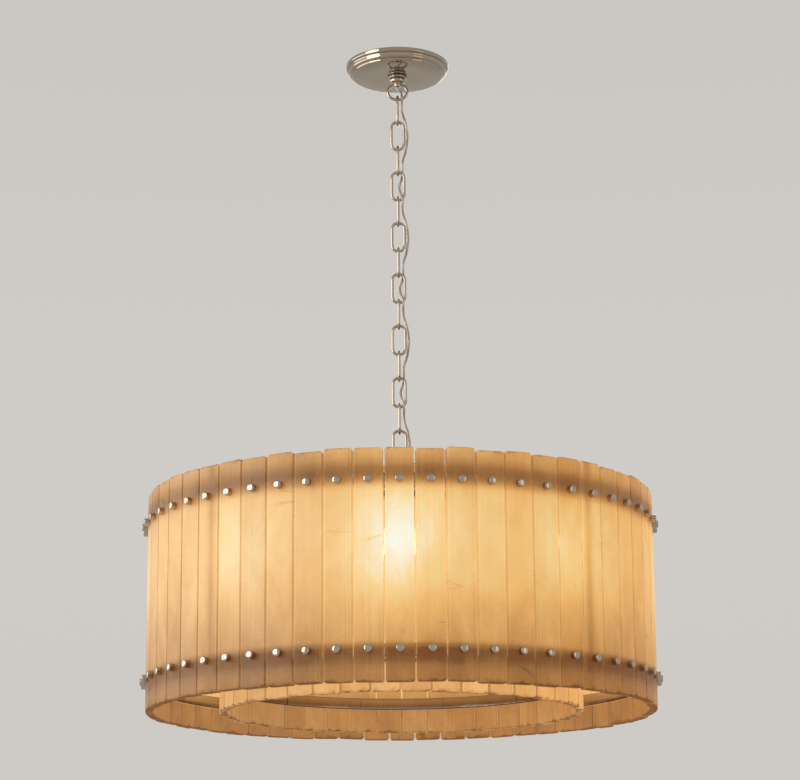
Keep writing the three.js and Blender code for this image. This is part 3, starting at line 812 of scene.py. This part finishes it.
def makeChain():
    oneLink = linkMesh()
    for k in range(1, linkCount + 1):
        low, high = cadCorners(f"chain_link_{k:02d}")
        quarter = fullTurn / 4 if k % 2 else 0
        half = math.pi if k % 4 > 1 else 0     # the welds lie on alternate sides
        matrix = Matrix.Translation((0, 0, (low.z + high.z) / 2)) @ turnTo(quarter + half)
        mesh = placed(oneLink, matrix)
        body = f"link_{k:02d}"
        makePiece(body + "_ring", mesh, polished, body, "chain_" + body, smoothBelow=60)


print("chain")
makeChain()


# Hub: a cup upside down, with a slot for each arm. Arm: a flat bar on edge, with a leg on the inner hoop and
# one on the lamp plate.
hub = {
    "radius": 34.0, "topWall": 9, "sideWall": 12, "bore": 6.3, "leadHole": 2.7, "slotGap": 0.3,
    "slotStart": 25, "slotEnd": 40, "slotHalf": 3.3, "overrun": 3, "nutRadius": 11,
}
arm = {
    "height": 16, "thickness": 6, "start": 25.3, "innerLeg": 259.2, "outerLeg": 284.3, "legWidth": 14,
    "corner": 2.0, "bend": 10, "gap": 0.3,
}
hoopTop = -743.25       # the arms' inner legs and the lamp plate stand on the hoops at this height


def quarterTurns():
    # the four places of the arms and posts
    return [turnTo(fullTurn * (i + 0.5) / 4) for i in range(4)]


def makeHub():
    low, high = cadCorners("hub")
    radius, top, bottom, past = hub["radius"], high.z, low.z, hub["overrun"]
    bore, hollow, ceiling = hub["bore"] - radius, -hub["sideWall"], top - hub["topWall"]
    outline = [(bore, ceiling), (hollow, ceiling), (hollow, bottom + 0.6), (hollow + 0.6, bottom)]
    outline += [(-1, bottom), (0, bottom + 1), (0, bottom + 4), (-0.8, bottom + 4.8), (-0.8, bottom + 6)]
    outline += [(0, bottom + 6.8), (0, top - 3)] + arc((-3, top - 3), 3, 0, 90, 6)
    outline += [(bore + 0.5, top), (bore, top - 0.5)]
    mesh = turned(fromRadius(radius, outline), 96, closed=True)
    start, end, half = hub["slotStart"], hub["slotEnd"], hub["slotHalf"]
    slotTop = cadCorners("arm_1")[1].z + hub["slotGap"]
    for turn in quarterTurns():
        slot = prism([(start, -half), (end, -half), (end, half), (start, half)], bottom - past, slotTop)
        mesh = joinOrCut(mesh, placed(slot, turn))
    mesh = joinOrCut(mesh, prism(ringCorners(hub["leadHole"], 24, hubEntry), ceiling - past, top + past))
    makePiece("hub_cup", mesh, nickelPlated, "drum", "hub")
    low, high = cadCorners("hub_nut")
    nut = prism(ringCorners(hub["nutRadius"], 6), low.z, high.z, softenEdges=0.5)
    nut = joinOrCut(nut, prism(ringCorners(hub["bore"], 32), low.z - past, high.z + past))
    makePiece("lock_nut", nut, nickelPlated, "drum", "hub_nut")


def makeArms():
    hubBottom = cadCorners("hub")[0].z
    innerFoot, outerFoot = hoopTop + arm["gap"], cadCorners("lamp_plate")[1].z + arm["gap"]
    top, start, c, bend = hubBottom + arm["height"], arm["start"], arm["corner"], arm["bend"]
    inner, outer, end = arm["innerLeg"], arm["outerLeg"], arm["outerLeg"] + arm["legWidth"]
    near = inner - arm["legWidth"]
    outline = [
        (start, top), (start, hubBottom), (near - c, hubBottom), (near, hubBottom - c), (near, innerFoot),
        (inner, innerFoot), (inner, hubBottom), (outer, hubBottom), (outer, outerFoot), (end, outerFoot),
    ]
    outline += arc((end - bend, top - bend), bend, 0, 90, 8)
    bar = prism(outline, -arm["thickness"] / 2, arm["thickness"] / 2, softenEdges=0.6)
    upright = Matrix.Rotation(math.pi / 2, 4, "X")
    for i, turn in enumerate(quarterTurns(), 1):
        makePiece(f"arm_bar_{i}", placed(bar, turn @ upright), nickelPlated, "drum", f"arm_{i}")


print("hub and arms")
makeHub()
makeArms()


# Drums: their slabs stand in rings, with the hoops behind them and a bolt through each slab into each hoop
outerTop = cadCorners("outer_slabs_1")[1].z
outerBottom = cadCorners("outer_slabs_1")[0].z
slabThickness = 12
slabGap = 1.4
hoopGap = 0.3           # between a slab's back and its hoops
boltInset = 44.5
topBolts, bottomBolts = outerTop - boltInset, outerBottom + boltInset
drums = {
    "outer": {"count": 56, "face": -cadCorners("outer_slabs_1")[0].y, "firstStep": 0, "seed": 11},
    "inner": {"count": 40, "face": 271.5, "firstStep": 0.5, "seed": 23},
}
for drum in drums.values():
    drum["back"] = drum["face"] - slabThickness
    drum["step"] = fullTurn / drum["count"]
    drum["width"] = 2 * drum["back"] * math.tan(drum["step"] / 2) - slabGap
    drum["hoopFace"] = drum["back"] - hoopGap
hoop = {
    "height": 17, "thickness": 5, "round": 0.7, "sides": 240, "seamWidth": 0.9, "seams": 12, "seamDepth": 1.2,
}
bolt = {
    "neckRadius": 3.0, "headRadius": 5.6, "headLength": 9, "round": 0.9, "dome": 0.7, "headGap": 0.3,
    "sides": 24, "pastSlab": 0.6,
}


def hoopMesh(face, level):
    # a rolled band with softened edges, whose joints show as narrow grooves
    h, t, r = hoop["height"] / 2, hoop["thickness"], hoop["round"]
    inner = face - t
    profile = []
    for x, z, start in (
        (face - r, h - r, 0), (inner + r, h - r, 90), (inner + r, r - h, 180), (face - r, r - h, 270),
    ):
        profile += arc((x, level + z), r, start, start + 90, 3)
    angles = []
    joint, steps = fullTurn / hoop["seams"], hoop["sides"] // hoop["seams"]
    half = hoop["seamWidth"] / 2 / face
    lip = half * 1.6
    for k in range(hoop["seams"]):
        centre = joint * (k + 0.5) - fullTurn / 4
        angles += [(centre - lip, 0.0), (centre - half, 1.0), (centre + half, 1.0), (centre + lip, 0.0)]
        start, end = centre + lip, centre + joint - lip
        angles += [(start + (end - start) * i / steps, 0.0) for i in range(1, steps)]
    points, faces, sheared = [], [], []
    for angle, sunk in angles:
        for radius, height in profile:
            # the band's upper and lower faces take painted shade
            sheared.append(1.0 if abs(height - level) > h - r + 0.1 else 0.0)
            pull = sunk * hoop["seamDepth"]
            radius += pull if radius < face - t / 2 else -pull * 0.4
            height += (-pull if height > level else pull) * 0.3
            points.append((radius * math.cos(angle), radius * math.sin(angle), height))
    size = len(profile)
    for i in range(len(angles)):
        k = (i + 1) % len(angles)
        for j in range(size):
            m = (j + 1) % size
            faces.append((i * size + j, i * size + m, k * size + m, k * size + j))
    mesh = meshFrom(points, faces)
    setValues(mesh, "sheared", sheared)
    return mesh


def boltMesh(neckLength):
    # a turned bolt along +Z, its head's face slightly domed
    r, length, neck = bolt["headRadius"], bolt["headLength"], bolt["neckRadius"]
    dome, edge = bolt["dome"], bolt["round"]
    profile = [(0, -neckLength), (neck - 0.4, -neckLength), (neck, -neckLength + 0.4), (neck, 0)]
    profile += [(r - 0.6, 0), (r, 0.6), (r, length - dome - edge)]
    profile += arc((r - edge, length - dome - edge), edge, 0, 70, 4)
    profile += [(r * share, length - dome * share ** 2) for share in (0.7, 0.5, 0.3, 0.15)] + [(0, length)]
    return turned(profile, bolt["sides"])


def makeHoops():
    for name, drum in drums.items():
        oneBolt = boltMesh(slabThickness + bolt["pastSlab"] + hoop["thickness"] / 2)
        for row, level in (("top", topBolts), ("bottom", bottomBolts)):
            node = f"{name}_{row}_hoop"
            makePiece(f"{name}_{row}_band", hoopMesh(drum["hoopFace"], level), banded, "drum", node)
            copies = []
            for i in range(drum["count"]):
                out = turnTo(drum["step"] * (i + drum["firstStep"])) @ Matrix.Rotation(math.pi / 2, 4, "X")
                place = Matrix.Translation((0, 0, drum["face"] + bolt["headGap"]))
                copies.append(placed(oneBolt, Matrix.Translation((0, 0, level)) @ out @ place))
            makePiece(f"{name}_{row}_bolts", combined(copies), polished, "drum", node, smoothBelow=40)


print("hoops and bolts")
makeHoops()


# Lamps on a ring plate between the drums, and the posts that carry the lower hoop
lamp = {
    "count": 8, "place": 319.85, "neckHole": 5.3, "plateInner": 284.3, "plateOuter": 368.4, "plateRound": 0.5,
    "postPlace": 359.4, "glassRadius": 25, "glassNeck": 14, "ballShare": 0.42, "thread": 2.8,
}


def makePlateAndPosts():
    low, high = cadCorners("lamp_plate")
    inner, outer, r = lamp["plateInner"], lamp["plateOuter"], lamp["plateRound"]
    profile = [(inner, low.z + r), (inner + r, low.z), (outer - r, low.z), (outer, low.z + r)]
    profile += [(outer, high.z - r), (outer - r, high.z), (inner + r, high.z), (inner, high.z - r)]
    plate = turned(profile, 180, closed=True)
    for x, y in ringCorners(lamp["place"], lamp["count"]):
        plate = joinOrCut(plate, prism(ringCorners(lamp["neckHole"], 20, x, y), low.z - 3, high.z + 3))
    makePiece("socket_plate", plate, nickelPlated, "drum", "lamp_plate")
    low, high = cadCorners("post_1")
    # half of a post from its end, with the groove of its screw joint
    half = [(0, 0), (3.4, 0), (4.0, 0.6), (4.0, 20), (3.6, 20.5), (3.6, 22), (4.0, 22.5)]
    rod = turned([(x, low.z + z) for x, z in half] + [(x, high.z - z) for x, z in reversed(half)], 28)
    for i, turn in enumerate(quarterTurns(), 1):
        mesh = placed(rod, turn @ Matrix.Translation((lamp["postPlace"], 0, 0)))
        makePiece(f"post_rod_{i}", mesh, polished, "drum", f"post_{i}")


def socketMesh(bottom, top, neckTop):
    # a porcelain cup, threaded inside, with a waist and a neck through the plate
    cup = [(0, bottom + 27.3), (13.3, bottom + 27.3)]
    level = bottom + 26
    while level > bottom + 4:
        cup += [(13.3, level), (13.9, level - lamp["thread"] / 2)]
        level -= lamp["thread"]
    cup += [(13.4, bottom + 0.8), (14.2, bottom), (16.2, bottom), (17, bottom + 0.8), (17, bottom + 10)]
    cup += [(16.3, bottom + 10.6), (16.3, bottom + 12), (17, bottom + 12.6), (17, top - 6)]
    cup += arc((11.5, top - 5.5), 5.5, 0, 90, 6)
    return turned(cup + [(5, top), (5, neckTop - 0.5), (4.5, neckTop), (0, neckTop)], 48)


def glassMesh(bottom, top):
    # a ball that narrows to the neck
    length, widest, neck, ball = top - bottom, lamp["glassRadius"], lamp["glassNeck"], lamp["ballShare"]
    glass = [(0, bottom)]
    for i in range(1, 25):
        share = i / 24
        if share < ball:
            angle = math.pi / 2 * share / ball
            glass.append((widest * math.sin(angle), bottom + length * 0.4 * (1 - math.cos(angle))))
        else:
            t = (share - ball) / (1 - ball)
            ease = t * t * (3 - 2 * t)
            glass.append((widest - (widest - neck) * ease, bottom + length * (0.4 + 0.6 * t)))
    glass[-1] = (neck, top - 0.2)
    return turned(glass + [(13.0, top), (12.7, top + 0.5), (12.7, top + 1.2), (0, top + 1.2)], 40)


def shellMesh(bottom, top):
    # the bulb's screw shell
    level = bottom
    shell = [(0, level), (13.0, level)]
    while level < top - 6:
        shell += [(13.0, level + 0.4), (12.3, level + 1.8), (13.0, level + 3.2)]
        level += lamp["thread"]
    return turned(shell + [(11.5, top - 3.5), (7, top - 1.2), (6.8, top - 0.8), (4.2, top), (0, top)], 32)


def makeLamps():
    low, high = cadCorners("socket_1")
    bulbLow, bulbHigh = cadCorners("bulb_1")
    glassTop = low.z - 0.3
    socket = socketMesh(low.z, hoopTop, high.z)
    glass = glassMesh(bulbLow.z, glassTop)
    shell = shellMesh(glassTop + 1.2, bulbHigh.z)
    for i in range(lamp["count"]):
        matrix = turnTo(fullTurn * i / lamp["count"]) @ Matrix.Translation((lamp["place"], 0, 0))
        node = f"bulb_{i + 1}"
        makePiece(f"lamp_socket_{i + 1}", placed(socket, matrix), glazed, "drum", f"socket_{i + 1}")
        makePiece(f"lamp_bulb_{i + 1}", placed(glass, matrix), opal, node, node)
        makePiece(f"lamp_shell_{i + 1}", placed(shell, matrix), polished, node, node)


print("lamps")
makePlateAndPosts()
makeLamps()


# Slabs
slab = {
    "edgeRound": 0.9,
    "cornerRound": 3.6,
    "cornerSteps": (0.0, 0.07, 0.25, 0.55, 1.0),
    "holeRadius": 3.4,
    "holeSquare": 6.5,       # half the patch of faces round a hole
    "columns": 12.6,         # the outer columns of faces start here
    "rowStep": 13,
    # rows of faces past a hole, towards the middle and towards the end
    "shadeRows": ((10, 13.5, 18), (10.5, 16, 24)),
    "rowGap": 4.5,
    "topScatter": 1.6,
    "bottomScatter": 1.1,
    "widthScatter": 0.25,
    "leanScatter": 0.0008,
    "slopeScatter": 0.02,
    "endWave": (0.12, 0.06, 0.5),            # waves of the ends: per mm across and along, and mm high
    "chips": (0.21, 0.25, 0.75, 2.5),        # of the edges: per mm along, least, mm deep, and reach in mm
    "tint": 0.43,            # 0 is pale, 1 is deep orange
    "windowPaleLean": 0.31,        # painted window light: the slabs on the left are paler than those on the right
    "tintScatter": 0.13,
    "shadeScatter": 0.022,
    "sideShade": 0.78,       # painted shade: the gaps between slabs are darker than their faces
    "innerEndShade": 1.4,    # the lamps light the inner slabs' lower ends
    "upperRim": 1.0,         # the upper ends are darkened and stained less than the lower ones
    "frontFrom": 0.93,       # share of the thickness from which a point lies on the front
    "hiddenRoom": 0.25,      # share of the room light on any face but the outer drum's front
}
lampLight = {
    "height": -842,          # the brightest level of the glow
    # depth of the spot in mm, how much flatter than tall it is, and its share of light
    "straight": [(50, 0.7, 0.035), (115, 1.1, 0.405)],  # lamps at the front and back
    "side": [(30, 0.6, 0.05), (70, 1.0, 0.26)],         # lamps at the sides
    "slanting": [(82, 0.85, 0.25)],                     # lamps between them
    "reach": 0.7,            # how far round the drum a lamp shows, in radians
    "lean": 0.04,            # the right side is a little brighter than the left
    "turnTowards": 7.0,      # degrees by which a slanting lamp shows nearer the front of its quarter
    "fadesBelow": 0.45,      # where the stone itself is darker, the lamps show less
}
postShade = {"depth": 0.22, "width": 7.5, "turnTowards": 1.0, "fadesBelow": 0.5}
hoopShade = {
    "reach": 8,              # mm past the bolts
    "sag": 2.5,              # the upper hoop's shade reaches lower on the right
    "sagAbove": -800,
    "between": 0.14,         # the light in the shade on each face
    "innerOutside": 0.3,
    "inside": 0.22,
}
faceLight = {   # the radius of each face in mm, the light of the stone round it, and the lamps' share
    "outside": (370, 0, 1.0), "between": (369, 0.5, 1.0), "innerOutside": (271, 0.44, 0.4),
    "inside": (260, 0, 0.2),
}
insideStone = {"less": 0.06, "least": 0.28}     # the inner drum's own light, against the outer one's
# share of the light through the stone by height, between lamps: dark at the hoops, bright below the top one
heightGlow = [
    (-1033, 0.18), (-1018, 0.20), (-1008, 0.14), (-1000, 0.04), (-992, 0.0), (-985, 0.02), (-979, 0.18),
    (-975, 0.32), (-971, 0.36), (-955, 0.39), (-925, 0.43), (-890, 0.51), (-840, 0.55), (-790, 0.56),
    (-771, 0.55), (-764, 0.50), (-756, 0.32), (-748, 0.11), (-741, 0.08), (-734, 0.13), (-726, 0.27),
    (-716, 0.38), (-700, 0.42),
]


def fromTable(table, value):
    if value <= table[0][0]:
        return table[0][1]
    for (low, first), (high, second) in zip(table, table[1:]):
        if value <= high:
            return first + (second - first) * (value - low) / (high - low)
    return table[-1][1]


def turnBetween(angle, other):
    return (angle - other + math.pi) % fullTurn - math.pi


def lampSum(angle, height, face):
    # light of the stone and of the nearest lamps on a face
    radius, base, strength = faceLight[face]
    total = 0.0
    for i in range(lamp["count"]):
        away = turnBetween(angle, fullTurn * i / lamp["count"])
        if abs(away) < lampLight["reach"]:
            for depth, tall, share in lampLight[("straight", "slanting", "side", "slanting")[i % 4]]:
                s, t = radius * away, tall * (height - lampLight["height"])
                total += share * (depth ** 2 / (depth ** 2 + s * s + t * t)) ** 1.5
    return base + strength * total


def glowOutside(angle, height):
    # the outer drum seen from outside: light that has come through the stone
    seenFrom, shadeFrom = (
        angle + math.radians(look["turnTowards"]) * math.sin(2 * angle) for look in (lampLight, postShade)
    )
    sag = hoopShade["sag"] * math.sin(angle) if height > hoopShade["sagAbove"] else 0
    base = fromTable(heightGlow, height + sag)
    glow = lampSum(seenFrom, height, "outside") + lampLight["lean"] * math.sin(angle)
    shade = 0.0
    for i in range(4):
        away = turnBetween(shadeFrom, fullTurn * (i + 0.5) / 4) * faceLight["outside"][0]
        shade += math.exp(-(away / postShade["width"]) ** 2)
    glow *= min(base / lampLight["fadesBelow"], 1)
    return base + glow - postShade["depth"] * shade * min(base / postShade["fadesBelow"], 1)


def glowBetween(angle, height):
    # the outer drum's back: lit straight by the lamps, in the hoops' shade above and below
    if height < bottomBolts - hoopShade["reach"] or height > topBolts + hoopShade["reach"]:
        return hoopShade["between"]
    return lampSum(angle, height, "between")


def glowInnerOutside(angle, height):
    # the inner drum seen from outside, which the lamps light straight
    if height > topBolts + hoopShade["reach"]:
        return hoopShade["innerOutside"]
    return lampSum(angle, height, "innerOutside")


def glowInside(angle, height):
    # the inner drum seen from the middle: light that has come through the stone
    base = fromTable(heightGlow, height)
    if height < bottomBolts:
        base = hoopShade["inside"]
    elif height < topBolts:
        base = max(base - insideStone["less"], insideStone["least"])
    return base + lampSum(angle, height, "inside")


def sectionPoints(width, thickness, radius):
    # a slab's section seen from above: x along the drum, y outwards from its back, clockwise from front left
    half, straight = width / 2, width / 2 - radius
    square, outer = slab["holeSquare"], slab["columns"]
    columns = [-straight, -outer, -square, 0.0, square, outer, straight]
    points = [(x, thickness) for x in columns]
    points += arc((straight, thickness - radius), radius, 90, 0, 3)[1:] + [(half, thickness / 2)]
    points += arc((straight, radius), radius, 0, -90, 3) + [(x, 0.0) for x in reversed(columns[:-1])]
    points += arc((-straight, radius), radius, -90, -180, 3)[1:] + [(-half, thickness / 2)]
    return points + arc((-straight, thickness - radius), radius, 180, 90, 3)[:-1]


# places of the front's and the back's columns in a section's points, both from left to right, and the corners
# round the patch that a hole takes, as (column, row)
frontColumns = list(range(7))
backColumns = list(range(20, 13, -1))
patchCorners = [(2, -1), (3, -1), (4, -1), (4, 0), (4, 1), (3, 1), (2, 1), (2, 0)]


def slabLevels(low, high):
    # the heights of a slab's rows of points, and how far each is drawn in by the rounded corners
    corner, square = slab["cornerRound"], slab["holeSquare"]
    ends = []
    for share in slab["cornerSteps"]:
        depth = corner * share
        ends.append((depth, corner - math.sqrt(max(corner ** 2 - (corner - depth) ** 2, 0))))
    special = []
    for level in (topBolts, bottomBolts):
        away = -1 if level > (low + high) / 2 else 1
        inwards, outwards = slab["shadeRows"]
        special += [level - square, level, level + square]
        special += [level + away * d for d in inwards] + [level - away * d for d in outwards]
    count = int((high - low) / slab["rowStep"])
    plain = [low + (high - low) * i / count for i in range(1, count)]
    rows = special + [z for z in plain if min(abs(z - s) for s in special) > slab["rowGap"]]
    rows = sorted(z for z in rows if low + corner + 1 < z < high - corner - 1)
    levels = [(low + depth, inset) for depth, inset in ends] + [(z, 0.0) for z in rows]
    return levels + [(high - depth, inset) for depth, inset in reversed(ends)]


def slabPoints(name, levels, width, slope, lean, seed):
    # the points of a slab, each with its share of the thickness, its share of the half width, its distance
    # from an end, and its shade
    low, high, corner = levels[0][0], levels[-1][0], slab["cornerRound"]
    waveAcross, waveAlong, waveHeight = slab["endWave"]
    chipAlong, least, depth, reach = slab["chips"]
    points, marks = [], []
    for z, inset in levels:
        thin = min(inset, slab["edgeRound"]) * 0.8
        radius = max(slab["edgeRound"] - thin, 0.3)
        for x, y in sectionPoints(width - 2 * inset, slabThickness - 2 * thin, radius):
            level = z
            if z > high - corner - 0.1 or z < low + corner + 0.1:
                wave = noise.noise(Vector((x * waveAcross + seed * 7, z * waveAlong, seed)))
                level += wave * waveHeight + slope * x
            if abs(x) > width / 2 - reach - inset:
                chip = max(noise.noise(Vector((seed * 3, z * chipAlong, x))) - least, 0) * depth
                x -= math.copysign(chip, x)
            shade = slab["innerEndShade"] if name == "inner" and z < low + 0.5 else 1.0
            # painted shade in the gaps between slabs: the sides get less light
            if abs(x) > width / 2 - inset - 0.3:
                shade = slab["sideShade"]
            points.append((x + lean * (z - low), y + thin, level))
            rim = min(z - low, high - z + slab["upperRim"])
            marks.append(((y + thin) / slabThickness, min(abs(x) / (width / 2), 1), rim, shade))
    return points, marks


def slabFaces(points, marks, levels):
    # the faces of a slab, with a round hole through it for each bolt, whose points are added to the others
    size = len(sectionPoints(slab["holeSquare"] * 4, slabThickness, slab["edgeRound"]))
    last = len(levels) - 1
    holeRows = [min(range(last), key=lambda i: abs(levels[i][0] - hole)) for hole in (topBolts, bottomBolts)]
    skip = set()
    for middle in holeRows:
        for column in (2, 3):
            skip |= {(row, frontColumns[column]) for row in (middle - 1, middle)}
            skip |= {(row, backColumns[column + 1]) for row in (middle - 1, middle)}
    faces = []
    for row in range(last):
        for i in range(size):
            if (row, i) not in skip:
                k = (i + 1) % size
                faces.append((row * size + i, row * size + k, (row + 1) * size + k, (row + 1) * size + i))
    faces += [tuple(range(size)), tuple(last * size + i for i in range(size))]
    for middle in holeRows:
        circles = []
        for columns in (frontColumns, backColumns):
            edge = [(middle + row) * size + columns[c] for c, row in patchCorners]
            centre = Vector(points[middle * size + columns[3]])
            circle = list(range(len(points), len(points) + 8))
            for corner in edge:
                away = Vector(points[corner]) - centre
                away.y = 0
                points.append(tuple(centre + away.normalized() * slab["holeRadius"]))
                marks.append((centre.y / slabThickness, 0, slabThickness, 1.0))
            faces += [(edge[a - 1], edge[a], circle[a], circle[a - 1]) for a in range(8)]
            circles.append(circle)
        front, back = circles
        faces += [(front[a - 1], front[a], back[a], back[a - 1]) for a in range(8)]
    return faces


def slabMesh(name, drum, index, rng):
    low = outerBottom + rng.uniform(-1, 1) * slab["bottomScatter"]
    high = outerTop + rng.uniform(-1, 1) * slab["topScatter"]
    width = drum["width"] - rng.uniform(0, 1) * slab["widthScatter"]
    lean = rng.uniform(-1, 1) * slab["leanScatter"]
    slope = rng.uniform(-1, 1) * slab["slopeScatter"]
    turn = drum["step"] * (index + drum["firstStep"])
    seed = rng.uniform(0, 50)
    # the tint leans paler on the left: painted window light
    tint = min(max(rng.gauss(slab["tint"] + slab["windowPaleLean"] * math.sin(turn), slab["tintScatter"]), 0), 1)
    scatter = rng.uniform(-1, 1) * slab["shadeScatter"]
    levels = slabLevels(low, high)
    points, marks = slabPoints(name, levels, width, slope, lean, seed)
    faces = slabFaces(points, marks, levels)
    # to its place on the drum
    side, out = Vector((math.cos(turn), math.sin(turn), 0)), Vector((math.sin(turn), -math.cos(turn), 0))
    outside, inside = (glowOutside, glowBetween) if name == "outer" else (glowInnerOutside, glowInside)
    glow, moved = [], []
    for (x, y, z), (share, across, rim, shade) in zip(points, marks):
        spot = side * x + out * (drum["back"] + y)
        moved.append((spot.x, spot.y, z))
        angle = math.atan2(spot.x, -spot.y)
        glow.append((inside(angle, z) * (1 - share) + outside(angle, z) * share + scatter) * shade)
    mesh = meshFrom(moved, faces)
    shares, acrosses, rims = list(zip(*marks))[:3]
    columns = {
        "glow": glow, "seed": [seed] * len(glow), "tint": [tint] * len(glow), "across": acrosses, "rim": rims,
        "room": [
            1.0 if name == "outer" and share > slab["frontFrom"] else slab["hiddenRoom"] for share in shares
        ],
    }
    for key, values in columns.items():   # meshFrom keeps the order of the points
        setValues(mesh, key, values)
    # the points in the middle of the holes' patches are left over
    shape = bmesh.new()
    shape.from_mesh(mesh)
    bmesh.ops.delete(shape, geom=[v for v in shape.verts if not v.link_faces], context="VERTS")
    return written(shape, mesh)


def makeSlabs():
    for name, drum in drums.items():
        rng = random.Random(drum["seed"])
        perSet = drum["count"] // 4
        for i in range(drum["count"]):
            mesh = slabMesh(name, drum, i, rng)
            node = f"{name}_slabs_{i // perSet + 1}"
            makePiece(f"{name}_slab_{i + 1:02d}", mesh, stone, "drum", node, smoothBelow=50)


print("slabs")
makeSlabs()


# Spacers in the gaps between slabs
spacer = {"inset": 3, "depth": 5, "height": 11, "squeeze": 0.05, "round": 0.3}


def makeSpacers():
    for name, drum in drums.items():
        near = drum["back"] + spacer["inset"]
        far = near + spacer["depth"]
        half = slabGap / 2 + spacer["inset"] * math.tan(drum["step"] / 2) + spacer["squeeze"]
        corners = [(-half, -far), (half, -far), (half, -near), (-half, -near)]
        low = topBolts - spacer["height"] / 2
        pad = prism(corners, low, low + spacer["height"], softenEdges=spacer["round"])
        turns = [turnTo(drum["step"] * (i + 0.5 + drum["firstStep"])) for i in range(drum["count"])]
        nodes = [f"{name}_slabs_{k}" for k in range(1, 5)]
        makePiece(f"{name}_gap_pads", combined([placed(pad, turn) for turn in turns]), rubber, "drum", *nodes)


print("spacers")
makeSpacers()


# Floor, world and lamps of the studio
studio = {
    "floorHeight": -2.4,        # metres
    "floorRadius": 16,
    "floorFades": (2.0, 8.0),
    "floorColour": "#dedad4",
    "floorOwnLight": 0.12,      # for what sees the floor straight or in a mirror
    "seen": [   # what the eye and the mirrors see, from straight down to straight up
        (0.0, "#a9a59f"), (0.41, "#c9c6c1"), (0.5, "#ccc9c4"), (0.62, "#d0cdc8"), (0.72, "#c8c5c0"),
        (0.82, "#bebbb6"), (1.0, "#b8b5b0"),
    ],
    "roomLight": ("#fbf6ef", 0.42),
    "lamps": [   # name, place, aims at, size, power, colour
        ("window", (-2.85, -1.8, -0.1), (0, 0, -0.8), (1.9, 2.6), 44, "#fffaf4"),
        ("sideWindow", (-3.4, 0.4, -0.2), (0, 0, -0.6), (2.6, 2.6), 34, "#fffaf4"),
        ("fill", (2.8, -2.4, -0.4), (0, 0, -0.8), (1.4, 2.2), 8, "#ffe0b4"),
        ("back", (0.3, 3.4, 0.5), (0, 0, -0.7), (1.6, 1.6), 16, "#ffffff"),
    ],
}


def lightPathSeen(add):
    # 1 for rays from the camera, off a mirror or through glass
    seen = 0.0
    for kind in ("Camera", "Glossy", "Transmission"):
        seen = add("Math", {0: seen, 1: add("LightPath", take=f"Is {kind} Ray")}, operation="MAXIMUM")
    return seen


def floorMaterial():
    # painted, faded into the room's horizon far away, and seen through from below
    material = bpy.data.materials.new("painted_floor")
    add = emptied(material)
    place = add("TexCoord", take="Object")
    mottle = add("TexNoise", {"Vector": place, "Scale": 3.0, "Detail": 4.0})
    pale = studio["floorColour"]
    tone = add("ValToRGB", {"Fac": mottle}, stops=[(0.3, deeper(pale, 0.97)), (0.7, pale)])
    seenBy = lightPathSeen(add)
    own = add("Math", {0: seenBy, 1: studio["floorOwnLight"]}, operation="MULTIPLY")
    painted = add("BsdfPrincipled", {
        "Base Color": tone, "Emission Color": tone, "Emission Strength": own, "Roughness": 0.7,
    })
    nearest, farthest = studio["floorFades"]
    far = add("MapRange", {
        "Value": add("VectorMath", {0: place}, take="Value", operation="LENGTH"),
        "From Min": nearest, "From Max": farthest,
    }, interpolation_type="SMOOTHSTEP")
    farSeen = add("Math", {0: far, 1: seenBy}, operation="MULTIPLY")
    horizon = add("Emission", {"Color": dict(studio["seen"])[0.5]})
    faded = add("MixShader", {0: farSeen, 1: painted, 2: horizon})
    below = add("NewGeometry", take="Backfacing")
    oneSided = add("MixShader", {0: below, 1: faded, 2: add("BsdfTransparent")})
    add("OutputMaterial", {"Surface": oneSided})
    return material


def makeFloor():
    # one face that looks up
    corners = [(x, y, studio["floorHeight"]) for x, y in ringCorners(studio["floorRadius"], 96)]
    floor = bpy.data.meshes.new("floor")
    floor.from_pydata(corners, [], [tuple(range(len(corners)))])
    floor.materials.append(floorMaterial())
    addObject("floor", floor)


def makeWorld():
    world = bpy.data.worlds.new("studio")
    bpy.context.scene.world = world
    add = emptied(world)
    height = add("SeparateXYZ", {"Vector": add("TexCoord", take="Generated")}, take="Z")
    share = add("MapRange", {"Value": height, "From Min": -1.0, "From Max": 1.0})
    colour, strength = studio["roomLight"]
    sky = add("ValToRGB", {"Fac": share}, stops=studio["seen"])
    seen = add("Background", {"Color": sky, "Strength": 1.0})
    light = add("Background", {"Color": colour, "Strength": strength})
    add("OutputWorld", {"Surface": add("MixShader", {0: lightPathSeen(add), 1: light, 2: seen})})


def makeStudioLamps():
    for name, place, aim, size, power, colour in studio["lamps"]:
        data = bpy.data.lights.new(name, "AREA")
        data.shape = "RECTANGLE"
        (data.size, data.size_y), data.energy, data.color = size, power, linear(colour)[:3]
        item = addObject(name, data)
        item.location = place
        item.rotation_euler = (Vector(aim) - Vector(place)).to_track_quat("-Z", "Y").to_euler()


print("studio")
makeFloor()
makeWorld()
makeStudioLamps()
